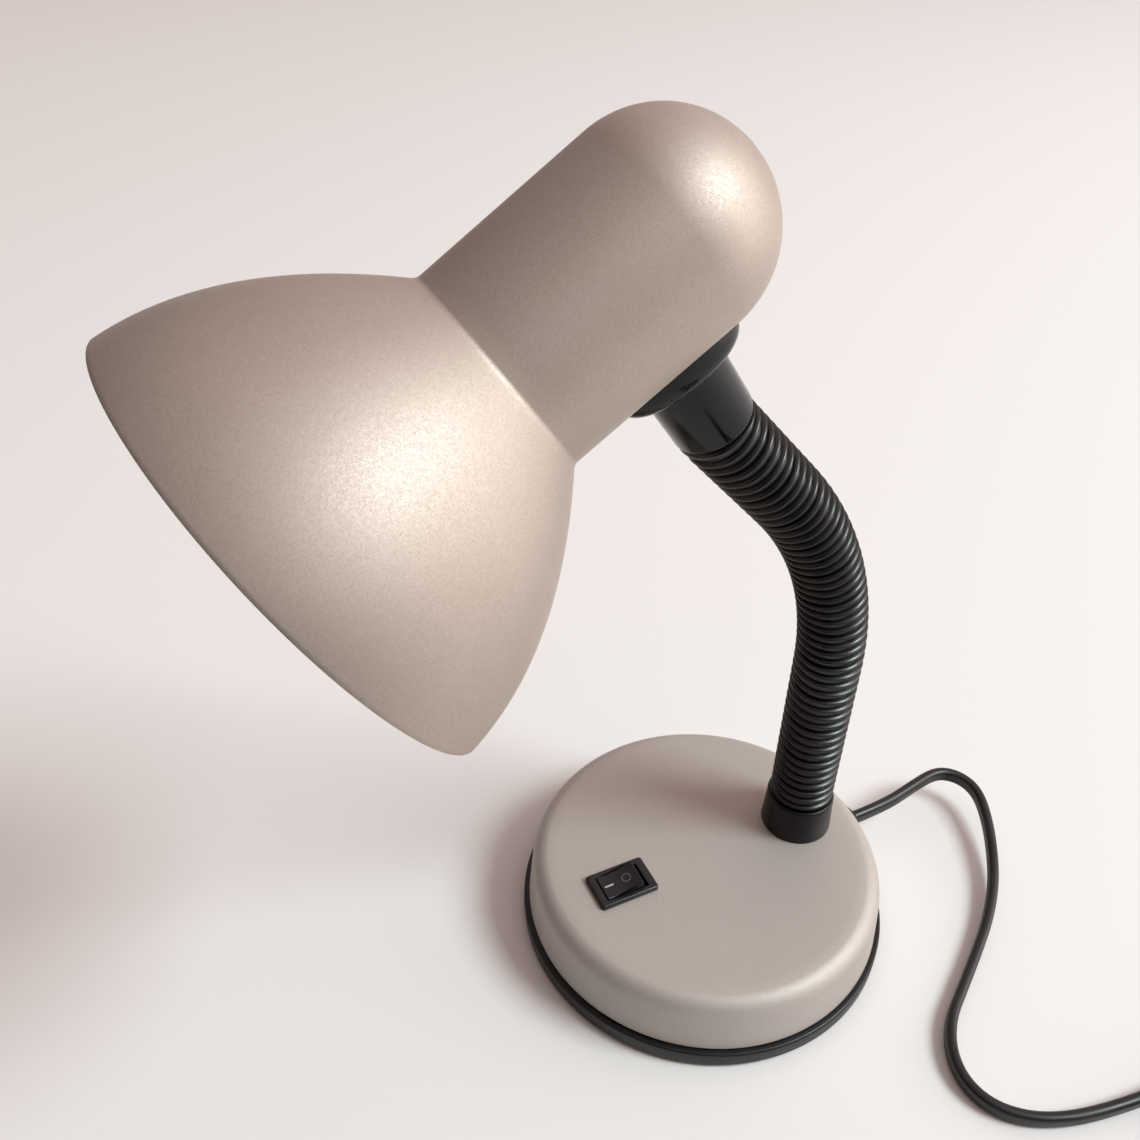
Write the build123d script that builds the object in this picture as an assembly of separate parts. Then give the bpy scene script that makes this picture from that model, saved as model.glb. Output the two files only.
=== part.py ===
from build123d import *
import os
from math import cos, degrees, hypot, pi, radians, sin, sqrt, tan

# Table lamp with a flexible neck: round weighted base, rocker switch, ribbed neck,
# bell shade on a saddle, flat two-core cord with the spare length coiled.
# Millimetres. The origin is the middle of the base's underside, +Z is up,
# the switch is at the front (-Y), the neck and the cord are at the back (+Y).

# Base
base_height = 30.0
cover_radius = 68.3
cover_draft = 2.3
cover_wall = 2.0
cover_edge_radius = 6.5
rim_overhang = 0.9
plate_floor = 2.4
rim_height = 7.4
rim_bevel = 0.8
groove_height = 0.6
groove_depth = 1.3
lip_height = 3.0
lip_wall = 1.5
lip_clear = 0.6
pad_margin = 9.2
pad_thickness = 1.6
pad_proud = 0.6
boss_inset = 12.3
boss_radius = 4.0
boss_angles = (-90.0, 30.0, 150.0)
screw_radius = 1.45
screw_length = 14.0
screw_head_radius = 3.2
screw_head_height = 1.6
screw_pilot_extra = 1.0
ballast_inset = 18.3
ballast_thickness = 9.0
ballast_relief = 5.5
peg_offset = 30.0
peg_radius = 3.0

# Rocker switch
switch_inset = 32.3
bezel_end_lap = 1.1
bezel_side_lap = 1.2
bezel_height = 2.0
bezel_corner = 1.6
bezel_edge = 0.5
switch_length = 18.8
switch_width = 12.6
switch_depth = 12.5
switch_floor = 2.0
switch_end_wall = 1.1
switch_side_wall = 1.0
rocker_play = 0.3
rocker_half_tilt = 11.0
rocker_proud = 1.7
rocker_valley = 0.9
rocker_end_lean = 1.0
rocker_waist = 0.5
heel_inset = 1.4
heel_drop = 1.2
keel_half = 3.2
keel_drop = 2.6
latch_reach = 0.9
latch_height = 4.0
latch_half_width = 2.5
pivot_depth = 4.0
trunnion_radius = 1.5
trunnion_length = 0.7
blade_width = 6.3
blade_thickness = 0.8
blade_length = 7.5
blade_spacing = 9.0

# Neck
neck_inset = 27.5
cuff_height = 16.0
cuff_wall = 3.2
cuff_foot = 2.0
cuff_edge = 0.8
cuff_taper = 0.7
cuff_floor = 3.0
rib_count = 50
ribs_per_link = 4
end_ribs = 3
rib_depth = 0.9
sleeve_wall = 2.3
rib_crest_share = 0.36
rib_flank_share = 0.14
tail_wall = 2.0
core_radius = 8.5
core_bore = 3.2
neck_rise = 66.0
neck_bend_radius = 118.0
neck_bend_angle = 42.0
neck_upper_run = 39.05
neck_return_radius = 20.0
head_pitch = 33.9
neck_top_run = 1.0
link_gap = 2.25
stud_radius = 4.95
stud_bore = 3.3
ferrule_height = 4.0
nut_height = 4.0
nut_flats = 15.0
washer_radius = 10.0
washer_thickness = 1.4
stud_end = 3.5
lead_radius = 2.2

# Head
collar_length = 21.4
collar_wall = 1.4
collar_taper = 0.25
collar_edge = 1.0
tail_depth = 12.0
saddle_thickness = 7.5
saddle_lap = 6.9
saddle_edge = 2.4
shade_radius = 28.5
shade_length = 50.9
shade_wall = 1.0
saddle_station = 36.8
bell_length = 62.66
bell_radius = 64.7
bell_crease_slope = 1.051
bell_rim_slope = 0.126
# how far each end and handle of the bell's curve moves in and down for a millimetre of wall
crease_draw = (1.0, 0.4)
flare_draw = (0.75, 0.6)
skirt_draw = (0.95, 0.1)
rim_draw = (1.0, 0.0)
vent_count = 6
vent_radius = 2.2
vent_circle = 8.0
vent_phase = 30.0
bracket_width = 14.0
bracket_thickness = 1.5
bracket_corner = 6.0
bracket_end = 1.0
holder_radius = 17.8
holder_wall = 2.2
holder_edge = 0.6
holder_mouth = -16.0
holder_split = 14.0
holder_back = 26.0
holder_cap_skirt = 4.0
holder_cap_slope = 5.0
holder_cap_wall = 4.2
insert_height = 4.0
contact_radius = 4.5
contact_height = 1.5
shell_wall = 0.8
shell_length = 20.0
nipple_radius = 4.95
nipple_bore = 3.6
nipple_reach = 5.0
nipple_nut_flats = 14.0
nipple_nut_height = 3.5
cap_thread_radius = 13.2
cap_length = 18.0
cap_tip_height = 2.5
cap_shoulder = 2.0
eyelet_radius = 4.2
eyelet_edge = 0.8
bulb_radius = 22.5
bulb_length = 68.0
bulb_wall = 0.8
throat_step = 0.8
throat_pull = 4.0
waist_angle = 40.0
waist_pull = 6.25

# Cord
cord_width = 6.0
cord_thickness = 3.6
cord_height = 14.2
bushing_out = 3.0
bushing_in = 4.5
bushing_grip = 3.0
bushing_radius = 5.2
bushing_tip_radius = 4.0
bushing_flange = 6.0
flange_seat = 0.9
flange_thickness = 1.3
flange_neck = 0.4
clamp_inset = 11.0
clamp_post_x = 8.0
clamp_post_radius = 3.2
clamp_bar_height = 3.5
clamp_bar_length = 24.0
clamp_bar_width = 6.5
clamp_bar_corner = 2.0
clamp_screw_radius = 1.35
clamp_screw_foot = 2.0
clamp_head_radius = 2.6
clamp_head_height = 1.8
inner_reach = 7.0
wire_radius = 1.1
wire_spread = 1.2
wire_rise = 1.0
lamp_wire_spread = 1.5
coil_outer = 45.0
coil_turns = 6.5
coil_gap = 2.4
layer_gap = 1.0
climb_turns = 0.5
coil_lift = 0.95
tie_width = 5.0
tie_thickness = 0.7
tail_length = 30.0
plug_length = 37.0
plug_width = 34.0
plug_thickness = 13.6
plug_shoulder = 6.5
plug_taper = 14.0
plug_corner = 3.0
plug_edge = 2.0
pin_radius = 2.0
pin_length = 19.0
pin_spacing = 18.6
pin_tip = 1.0

# Clearances
slip = 0.1
free_gap = 0.3
press = 0.05
thread_play = 0.25

# How far a cut runs past the face it opens, and the share of a run that a bend may use
cut_over = 1.0
bend_share = 0.45

# Derived sizes, heights and places
plate_radius = cover_radius + rim_overhang
pad_radius = plate_radius - pad_margin
boss_circle = cover_radius - boss_inset
switch_y = switch_inset - cover_radius
neck_y = cover_radius - neck_inset
coil_step = cord_thickness + coil_gap
layer_step = cord_width + layer_gap
ballast_radius = cover_radius - ballast_inset
bezel_length = switch_length + 2 * bezel_end_lap
bezel_width = switch_width + 2 * bezel_side_lap
rocker_length = switch_length - 2 * (switch_end_wall + rocker_play)
rocker_width = switch_width - 2 * (switch_side_wall + slip)
sleeve_bore = core_radius + slip
rib_root_radius = sleeve_bore + sleeve_wall
rib_radius = rib_root_radius + rib_depth
tail_radius = sleeve_bore + tail_wall
cuff_radius = tail_radius + slip + cuff_wall
collar_radius = tail_radius + slip + collar_wall
saddle_radius = collar_radius + saddle_lap
clamp_y = cover_radius - clamp_inset
clamp_under = cord_height + cord_width / 2 + free_gap
inner_end = clamp_y - inner_reach
plate_bottom = pad_proud
recess_top = pad_thickness
floor_top = recess_top + plate_floor
seat_height = rim_height + groove_height
seat_radius = cover_radius - groove_depth
lip_radius = cover_radius - cover_wall - lip_clear
cover_top_under = base_height - cover_wall
bezel_top = base_height + bezel_height
pivot_height = bezel_top - pivot_depth
cuff_top = base_height + cuff_height
rib_pitch = (
    neck_rise
    + radians(neck_bend_angle) * neck_bend_radius
    + neck_upper_run
    + radians(neck_bend_angle - head_pitch) * neck_return_radius
    + neck_top_run
) / rib_count
neck_length = rib_pitch * rib_count
standoff = collar_length + saddle_thickness
coil_middle_z = coil_lift + cord_width / 2
coil_inner = coil_outer - coil_turns / 2 * coil_step

# The cord's route on the floor, chosen by eye along the visible cord, up to the coil
cord_exit = (0.0, cover_radius + bushing_out, cord_height)
coil_start = (136.5, 142.0)
cord_route = [
    cord_exit,
    (0.0, 88.0, 14.2),
    (-3.0, 103.8, 14.4),
    (-5.7, 118.2, 13.8),
    (-2.9, 125.2, 13.2),
    (3.2, 129.5, 12.3),
    (10.6, 130.0, 11.0),
    (21.5, 125.4, 9.0),
    (33.0, 118.4, 6.8),
    (45.0, 109.2, 4.9),
    (56.6, 96.4, 3.7),
    (67.0, 81.2, 3.1),
    (76.2, 66.8, 3.05),
    (84.0, 54.6, 3.05),
    (94.0, 46.4, 3.05),
    (104.8, 43.4, 3.05),
    (115.2, 46.2, 3.05),
    (123.6, 54.6, 3.05),
    (129.2, 66.8, 3.05),
    (132.4, 80.8, 3.05),
    (134.6, 96.0, 3.2),
    (136.0, 111.5, 3.6),
    (coil_start[0], 126.6, coil_middle_z),
    (coil_start[0], coil_start[1], coil_middle_z),
]


def ring(radius, wall, z0, z1):
    """Tube about Z between two heights."""
    body = Pos(0, 0, z0) * Cylinder(radius, z1 - z0, align=(Align.CENTER, Align.CENTER, Align.MIN))
    hole = Pos(0, 0, z0) * Cylinder(
        radius - wall, z1 - z0, align=(Align.CENTER, Align.CENTER, Align.MIN)
    )
    return body - hole


def rod(radius, z0, z1, x=0.0, y=0.0):
    """Upright cylinder between two heights."""
    return Pos(x, y, z0) * Cylinder(radius, z1 - z0, align=(Align.CENTER, Align.CENTER, Align.MIN))


def block(x0, x1, y0, y1, z0, z1):
    """Box from its two corners."""
    size = Box(x1 - x0, y1 - y0, z1 - z0, align=(Align.MIN, Align.MIN, Align.MIN))
    return Pos(x0, y0, z0) * size


def turned(points):
    """Solid of revolution about Z from a closed outline of (radius, height) points."""
    outline = Polyline(*[(r, 0, z) for r, z in points], close=True)
    return revolve(make_face(outline), Axis.Z)


def hex_nut(flats, bore, z0, z1):
    """Hexagon nut about Z with a plain bore."""
    body = Pos(0, 0, z0) * extrude(RegularPolygon(flats / 2, 6, major_radius=False), z1 - z0)
    return body - rod(bore, z0, z1)


def run_radii(points):
    """Arc radius at each inner point: as large as the two runs beside it allow."""
    radii = []
    for before, here, after in zip(points, points[1:], points[2:]):
        run_in = Vector(*here) - Vector(*before)
        run_out = Vector(*after) - Vector(*here)
        half_turn = radians(run_in.get_angle(run_out)) / 2
        radii.append(bend_share * min(run_in.length, run_out.length) / tan(half_turn))
    return radii


def route_path(points):
    """Straight runs joined by tangent arcs."""
    return FilletPolyline(*points, radius=run_radii(points))


def wire_along(points, radius):
    """Round wire along a route."""
    path = route_path(points)
    section = Plane(origin=path @ 0, z_dir=path % 0) * Circle(radius)
    return sweep(section, path=path)


def flat_cord_along(path):
    """Flat two-core cord standing on its narrow edge along a path."""
    start = path % 0
    section = Plane(origin=path @ 0, x_dir=(0, 0, 1), z_dir=start) * SlotOverall(
        cord_width, cord_thickness
    )
    return sweep(section, path=path)


# Base

def make_base_pad():
    return rod(pad_radius, 0, pad_thickness)


def boss_places():
    return [
        (boss_circle * cos(radians(a)), boss_circle * sin(radians(a))) for a in boss_angles
    ]


def make_base_plate():
    dish = turned([
        (0, recess_top),
        (pad_radius + free_gap, recess_top),
        (pad_radius + free_gap, plate_bottom),
        (plate_radius - rim_bevel, plate_bottom),
        (plate_radius, plate_bottom + rim_bevel),
        (plate_radius, rim_height - rim_bevel),
        (plate_radius - rim_bevel, rim_height),
        (seat_radius, rim_height),
        (seat_radius, seat_height),
        (lip_radius, seat_height),
        (lip_radius, seat_height + lip_height),
        (lip_radius - lip_wall, seat_height + lip_height),
        (lip_radius - lip_wall, floor_top),
        (0, floor_top),
    ])
    for side in (-1, 1):
        dish += rod(peg_radius, floor_top, floor_top + ballast_thickness, side * peg_offset)
        post = rod(clamp_post_radius, floor_top, clamp_under, side * clamp_post_x, clamp_y)
        pilot = rod(clamp_screw_radius + press, floor_top, clamp_under, side * clamp_post_x, clamp_y)
        dish += post
        dish -= pilot
    for x, y in boss_places():
        dish -= Pos(x, y, 0) * screw_body(free_gap)
    slot_half = bushing_flange + free_gap
    slot_start = lip_radius - lip_wall - cut_over
    slot_floor = max(seat_height, cord_height - slot_half)
    dish -= block(-slot_half, slot_half, slot_start, seat_radius, slot_floor, base_height)
    return dish


def screw_body(extra):
    """Countersunk screw from the plate's underside; extra widens it to its hole."""
    head_top = recess_top + screw_head_height
    head = Pos(0, 0, (recess_top + head_top) / 2) * Cone(
        screw_head_radius + extra, screw_radius + extra, screw_head_height
    )
    return head + rod(screw_radius + extra, head_top, recess_top + screw_length)


def make_base_screws():
    return Compound(children=[Pos(x, y, 0) * screw_body(0) for x, y in boss_places()])


def cover_solid(inset, bottom, edge_radius):
    """Tapered drum with a rounded top edge, inset all round."""
    top_radius = cover_radius - cover_draft
    drum = turned([
        (0, bottom),
        (cover_radius - inset, bottom),
        (top_radius - inset, base_height - inset),
        (0, base_height - inset),
    ])
    return fillet(drum.edges().sort_by(Axis.Z)[-1], edge_radius)


def make_base_cover():
    outer = cover_solid(0, seat_height, cover_edge_radius)
    inner = cover_solid(cover_wall, seat_height, cover_edge_radius - cover_wall)
    cover = outer - inner
    for x, y in boss_places():
        cover += rod(boss_radius, floor_top, cover_top_under + cover_wall / 2, x, y)
        pilot_top = recess_top + screw_length + screw_pilot_extra
        cover -= rod(screw_radius + press, floor_top, pilot_top, x, y)
    cut_length = switch_length + 4 * slip
    cut_width = switch_width + 3 * slip
    cover -= Pos(0, switch_y, cover_top_under - cut_over) * Box(
        cut_width, cut_length, cover_wall + 2 * cut_over, align=(Align.CENTER, Align.CENTER, Align.MIN)
    )
    cover -= rod(stud_radius + 2 * slip, cover_top_under - cut_over, base_height + cut_over, 0, neck_y)
    wall_y = cover_radius - cover_wall / 2
    cover -= Pos(0, wall_y, cord_height) * Rot(90, 0, 0) * Cylinder(bushing_radius + slip, 4 * cover_wall)
    return cover


def make_ballast():
    disc = rod(ballast_radius, floor_top, floor_top + ballast_thickness)
    for side in (-1, 1):
        disc -= rod(peg_radius + slip, floor_top, floor_top + ballast_thickness, side * peg_offset)
    top = floor_top + ballast_thickness
    half = switch_width / 2 + ballast_relief
    back = switch_y + switch_length / 2 + ballast_relief
    disc -= block(-half, half, -ballast_radius - cut_over, back, floor_top, top)
    disc -= rod(cuff_radius, floor_top, top, 0, neck_y)
    return disc


# Switch

def make_switch_housing():
    frame = Pos(0, switch_y, base_height) * extrude(
        RectangleRounded(bezel_width, bezel_length, bezel_corner), bezel_height
    )
    upper = frame.edges().group_by(Axis.Z)[-1]
    frame = fillet(upper, bezel_edge)
    body = Pos(0, switch_y, base_height - switch_depth) * Box(
        switch_width, switch_length, switch_depth, align=(Align.CENTER, Align.CENTER, Align.MIN)
    )
    housing = frame + body
    well_length = rocker_length + 2 * rocker_play
    well_width = rocker_width + 2 * slip
    housing -= Pos(0, switch_y, base_height - switch_depth + switch_floor) * Box(
        well_width,
        well_length,
        switch_depth + bezel_height,
        align=(Align.CENTER, Align.CENTER, Align.MIN),
    )
    pivot_bore = Pos(0, switch_y, pivot_height) * Rot(0, 90, 0) * Cylinder(
        trunnion_radius + press, rocker_width + 2 * (trunnion_length + 2 * slip)
    )
    housing -= pivot_bore
    for side in (-1, 1):
        housing += make_latch(side)
    return housing


def make_latch(side):
    """Wedge on the switch's end wall that snaps under the cover's top."""
    y = switch_y + side * switch_length / 2
    top = cover_top_under - slip
    lug = Polyline((0, y, top), (0, y + side * latch_reach, top), (0, y, top - latch_height), close=True)
    return extrude(make_face(lug), latch_half_width, dir=(1, 0, 0), both=True)


def rocker_outline():
    """Side outline about the pivot when level: shallow valley on top, sloping ends."""
    half = rocker_length / 2
    rise = pivot_depth + rocker_proud
    right = [
        (half - rocker_end_lean, rise),
        (half, rocker_waist),
        (half - heel_inset, -heel_drop),
        (keel_half, -keel_drop),
    ]
    left = [(-y, z) for y, z in reversed(right)]
    return [(0, rise - rocker_valley)] + right + left


def make_switch_rocker():
    outline = Polyline(*[(0, y, z) for y, z in rocker_outline()], close=True)
    body = extrude(make_face(outline), rocker_width / 2, dir=(1, 0, 0), both=True)
    pins = Rot(0, 90, 0) * Cylinder(trunnion_radius, rocker_width + 2 * trunnion_length)
    tipped = Rot(rocker_half_tilt, 0, 0) * (body + pins)
    return Pos(0, switch_y, pivot_height) * tipped


def make_switch_terminals():
    under = base_height - switch_depth
    blades = []
    for side in (-1, 1):
        y = switch_y + side * blade_spacing / 2
        half = blade_width / 2
        blade = block(
            -half, half, y - blade_thickness / 2, y + blade_thickness / 2, under - blade_length, under
        )
        blades.append(blade)
    return Compound(children=blades)


# Neck

def neck_place(s):
    """Point and lean of the neck's centreline, s from the cuff's top; lean is from upright."""
    bend = radians(neck_bend_angle)
    last = radians(head_pitch)
    bend_run = bend * neck_bend_radius
    return_run = (bend - last) * neck_return_radius
    y, z, lean = neck_y, cuff_top, 0.0
    step = min(s, neck_rise)
    z += step
    s -= neck_rise
    if s <= 0:
        return y, z, lean
    step = min(s, bend_run)
    lean = step / neck_bend_radius
    y -= neck_bend_radius * (1 - cos(lean))
    z += neck_bend_radius * sin(lean)
    s -= bend_run
    if s <= 0:
        return y, z, lean
    step = min(s, neck_upper_run)
    y -= step * sin(lean)
    z += step * cos(lean)
    s -= neck_upper_run
    if s <= 0:
        return y, z, lean
    step = min(s, return_run)
    lean = bend - step / neck_return_radius
    y -= neck_return_radius * (cos(lean) - cos(bend))
    z += neck_return_radius * (sin(bend) - sin(lean))
    s -= return_run
    if s <= 0:
        return y, z, lean
    return y - s * sin(last), z + s * cos(last), last


def neck_plane(s):
    """Plane square to the neck's centreline, its X axis always along X."""
    y, z, lean = neck_place(s)
    return Plane(origin=(0, y, z), x_dir=(1, 0, 0), z_dir=(0, -sin(lean), cos(lean)))


def neck_path(start, end):
    """The centreline as lines and arcs between two stations."""
    bend_run = radians(neck_bend_angle) * neck_bend_radius
    return_run = radians(neck_bend_angle - head_pitch) * neck_return_radius
    stations = [neck_rise, bend_run, neck_upper_run, return_run]
    marks = [start]
    total = 0.0
    for length in stations:
        total += length
        marks.append(total)
    marks.append(end)
    points = [(0,) + neck_place(s)[:2] for s in marks]
    middles = [(0,) + neck_place((a + b) / 2)[:2] for a, b in zip(marks, marks[1:])]
    edges = [
        Line(points[0], points[1]),
        ThreePointArc(points[1], middles[1], points[2]),
        Line(points[2], points[3]),
        ThreePointArc(points[3], middles[3], points[4]),
        Line(points[4], points[5]),
    ]
    return Wire(edges)


def rib_circles(first, last):
    """Stations and radii of four circles for each rib from first up to last."""
    flank = rib_pitch * rib_flank_share
    crest = rib_pitch * rib_crest_share
    circles = []
    for index in range(first, last):
        middle = (index + 0.5) * rib_pitch
        circles.append((middle - crest / 2 - flank, rib_root_radius))
        circles.append((middle - crest / 2, rib_radius))
        circles.append((middle + crest / 2, rib_radius))
        circles.append((middle + crest / 2 + flank, rib_root_radius))
    return circles


def sleeve_piece(first, last, below, above):
    """Sleeve between two stations with ribs first to last; ends are cut flat."""
    circles = [c for c in rib_circles(first, last) if below < c[0] < above]
    outer = [(below, edge_radius(below))] + circles + [(above, edge_radius(above))]
    body = loft([neck_plane(s) * Circle(r) for s, r in outer], ruled=True)
    stations = [below - cut_over / 2] + [s for s, r in outer] + [above + cut_over / 2]
    bore = loft([neck_plane(s) * Circle(sleeve_bore) for s in stations], ruled=True)
    return body - bore


def edge_radius(s):
    """Outer radius of the ribbed sleeve at a station."""
    flank = rib_pitch * rib_flank_share
    crest = rib_pitch * rib_crest_share
    away = abs((s / rib_pitch) % 1 - 0.5) * rib_pitch - crest / 2
    share = min(max(away / flank, 0), 1)
    return rib_radius + share * (rib_root_radius - rib_radius)


def joint_stations():
    """Stations of the cuts between neighbouring links, in the middle of a groove."""
    links = (rib_count - 2 * end_ribs) // ribs_per_link
    return [(end_ribs + k * ribs_per_link) * rib_pitch for k in range(links + 1)]


def make_sleeve_foot():
    cut = joint_stations()[0] - link_gap / 2
    ribs = sleeve_piece(0, end_ribs, slip, cut)
    tail = ring(tail_radius, tail_radius - sleeve_bore, base_height + cuff_floor + slip, cuff_top + slip)
    return ribs + Pos(0, neck_y, 0) * tail


def make_sleeve_links():
    cuts = joint_stations()
    links = []
    for k in range(len(cuts) - 1):
        first = end_ribs + k * ribs_per_link
        low = cuts[k] + link_gap / 2
        high = cuts[k + 1] - link_gap / 2
        links.append(sleeve_piece(first, first + ribs_per_link, low, high))
    return links


def make_sleeve_top():
    cut = joint_stations()[-1] + link_gap / 2
    ribs = sleeve_piece(rib_count - end_ribs, rib_count, cut, neck_length - slip)
    tail = ring(tail_radius, tail_radius - sleeve_bore, -slip, tail_depth)
    return ribs + head_frame() * tail


def make_sleeve_cuff():
    cuff = turned([
        (0, base_height),
        (cuff_radius, base_height),
        (cuff_radius, base_height + cuff_foot),
        (cuff_radius - cuff_taper, cuff_top),
        (0, cuff_top),
    ])
    cuff = fillet(cuff.edges().sort_by(Axis.Z)[-1], cuff_edge)
    cuff -= rod(tail_radius + slip, base_height + cuff_floor, cuff_top)
    cuff -= rod(stud_radius + slip, base_height, base_height + cuff_floor)
    return Pos(0, neck_y, 0) * cuff


lower_nut_top = cover_top_under - washer_thickness
lower_stud_end = lower_nut_top - nut_height - stud_end
lower_seat = base_height + cuff_floor


def make_lower_fitting():
    flange = rod(core_radius - slip, lower_seat, lower_seat + ferrule_height)
    stud = rod(stud_radius, lower_stud_end, lower_seat)
    return Pos(0, neck_y, 0) * (flange + stud - rod(stud_bore, lower_stud_end, lower_seat + ferrule_height))


def make_lower_washer():
    return Pos(0, neck_y, 0) * ring(
        washer_radius, washer_radius - stud_radius - slip, lower_nut_top, cover_top_under
    )


def make_lower_nut():
    nut = hex_nut(nut_flats, stud_radius + press, lower_nut_top - nut_height, lower_nut_top)
    return Pos(0, neck_y, 0) * nut


core_start = lower_seat + ferrule_height - cuff_top
core_end_above = tail_depth - ferrule_height


def make_gooseneck_core():
    path = neck_path(core_start, neck_length + core_end_above)
    plane = Plane(origin=path @ 0, x_dir=(1, 0, 0), z_dir=path % 0)
    return sweep(plane * (Circle(core_radius) - Circle(core_bore)), path=path)


def make_neck_lead():
    path = neck_path(lower_stud_end - cuff_top, neck_length + stud_tip)
    plane = Plane(origin=path @ 0, x_dir=(1, 0, 0), z_dir=path % 0)
    return sweep(plane * Circle(lead_radius), path=path)


# Head, drawn in the collar's frame: origin at the neck's top end, +Z on along the neck,
# +Y to the shade's dome. The shade has its own frame: +Z to the dome, +Y to the saddle.

def head_frame():
    return neck_plane(neck_length).location


def shade_frame():
    axis_height = standoff + shade_radius
    plane = Plane(origin=(0, -saddle_station, axis_height), x_dir=(1, 0, 0), z_dir=(0, 1, 0))
    return head_frame() * plane.location


inner_radius = shade_radius - shade_wall
bracket_seat = sqrt(inner_radius**2 - (bracket_width / 2) ** 2)
bracket_inner = bracket_seat - bracket_thickness
upper_washer_inner = bracket_inner - washer_thickness
upper_nut_inner = upper_washer_inner - nut_height
stud_tip = standoff + shade_radius - upper_nut_inner + stud_end / 3


def round_shade(radius):
    """Long cylinder about the shade's axis, in the collar's frame."""
    return Pos(0, 0, standoff + shade_radius) * Rot(90, 0, 0) * Cylinder(radius, 4 * saddle_radius)


def make_collar():
    top = standoff
    top_radius = collar_radius + collar_taper * top / collar_length
    body = turned([(0, 0), (collar_radius, 0), (top_radius, top), (0, top)])
    body = fillet(body.edges().sort_by(Axis.Z)[0], collar_edge)
    body -= round_shade(shade_radius + saddle_thickness)
    body -= rod(tail_radius + slip, 0, tail_depth + slip)
    body -= rod(stud_radius + slip, tail_depth, top)
    return head_frame() * body


def make_saddle():
    low = collar_length - saddle_thickness
    pad = rod(saddle_radius, low, standoff + shade_radius / 2)
    pad &= round_shade(shade_radius + saddle_thickness)
    pad = fillet(pad.edges().sort_by(SortBy.LENGTH)[-1], saddle_edge)
    pad -= round_shade(shade_radius + slip)
    pad -= rod(stud_radius + slip, low, standoff + shade_radius)
    return head_frame() * pad


def make_upper_fitting():
    flange = rod(core_radius - slip, tail_depth - ferrule_height, tail_depth)
    stud = rod(stud_radius, tail_depth, stud_tip)
    return head_frame() * (flange + stud - rod(stud_bore, tail_depth - ferrule_height, stud_tip))


def bell_profile(offset):
    """Crease, two handles and rim of the bell's curve, drawn in by an offset."""
    third = bell_length / 3
    outer = [
        (shade_radius, 0.0, crease_draw),
        (shade_radius + bell_crease_slope * third, -third, flare_draw),
        (bell_radius - bell_rim_slope * third, -2 * third, skirt_draw),
        (bell_radius, -bell_length, rim_draw),
    ]
    return [(r - offset * draw[0], 0, z - offset * draw[1]) for r, z, draw in outer]


def shade_solid(offset):
    """Bell, cylinder and dome as one solid, drawn in by an offset."""
    crease, flare, skirt, rim = bell_profile(offset)
    radius = shade_radius - offset
    middle = shade_length
    shoulder = (radius, 0, middle)
    pole = (0, 0, middle + radius)
    waist = (radius * sin(pi / 4), 0, middle + radius * cos(pi / 4))
    outline = [
        Bezier(crease, flare, skirt, rim),
        Line(rim, (0, 0, -bell_length)),
        Line((0, 0, -bell_length), pole),
        ThreePointArc(pole, waist, shoulder),
        Line(shoulder, crease),
    ]
    return revolve(make_face(outline), Axis.Z)


def make_shade():
    shell = shade_solid(0) - shade_solid(shade_wall)
    for k in range(vent_count):
        angle = radians(vent_phase + 360 * k / vent_count)
        x, y = vent_circle * cos(angle), -vent_circle * sin(angle)
        shell -= rod(vent_radius, shade_length + shade_radius / 2, shade_length + 2 * shade_radius, x, y)
    stud_hole = across_shade(rod(stud_radius + 2 * slip, bracket_inner, shade_radius + cut_over))
    return shade_frame() * (shell - stud_hole)


def across_shade(solid):
    """Turns a solid about Z so that its Z axis runs from the shade's axis to the saddle."""
    return Pos(0, 0, saddle_station) * Rot(-90, 0, 0) * solid


def make_bracket():
    half = bracket_width / 2
    strip_end = saddle_station + washer_radius + bracket_end
    strip = block(-half, half, bracket_inner, bracket_seat, holder_back, strip_end)
    upright = block(-half, half, -half, bracket_seat, holder_back, holder_back + bracket_thickness)
    plate = strip + upright
    corners = plate.edges().filter_by(Axis.Z).sort_by(Axis.Y)[:2]
    plate = fillet(corners, bracket_corner)
    plate -= across_shade(rod(stud_radius + slip, 0, shade_radius))
    plate -= rod(nipple_radius + slip, holder_back - cut_over, holder_back + bracket_thickness + cut_over)
    return shade_frame() * plate


def make_upper_washer():
    outer = min(washer_radius, bracket_width / 2)
    disc = ring(outer, outer - stud_radius - slip, upper_washer_inner, bracket_inner)
    return shade_frame() * across_shade(disc)


def make_upper_nut():
    nut = hex_nut(nut_flats, stud_radius + press, upper_nut_inner, upper_washer_inner)
    return shade_frame() * across_shade(nut)


nipple_start = holder_back - nipple_reach
nipple_end = holder_back + bracket_thickness + nipple_reach
insert_front = holder_split - insert_height
contact_front = insert_front - contact_height
cap_shell_end = contact_front - cap_tip_height
cap_mouth = cap_shell_end - cap_length
bulb_tip = contact_front - bulb_length


def make_nipple():
    return shade_frame() * ring(nipple_radius, nipple_radius - nipple_bore, nipple_start, nipple_end)


def make_nipple_nut():
    start = holder_back + bracket_thickness
    nut = hex_nut(nipple_nut_flats, nipple_radius + press, start, start + nipple_nut_height)
    return shade_frame() * nut


def make_holder_cap():
    cap = turned([
        (0, holder_split),
        (holder_radius, holder_split),
        (holder_radius, holder_split + holder_cap_skirt),
        (holder_radius - holder_cap_slope, holder_back),
        (0, holder_back),
    ])
    cap -= rod(holder_radius - holder_cap_wall, holder_split, nipple_start)
    cap -= rod(nipple_radius + press, nipple_start - cut_over, holder_back)
    return shade_frame() * cap


def make_holder_body():
    body = ring(holder_radius, holder_wall, holder_mouth, holder_split)
    body = fillet(body.edges().group_by(Axis.Z)[0], holder_edge)
    return shade_frame() * body


insert_radius = holder_radius - holder_wall - slip


def make_contact_block():
    return shade_frame() * rod(insert_radius, insert_front, holder_split)


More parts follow.
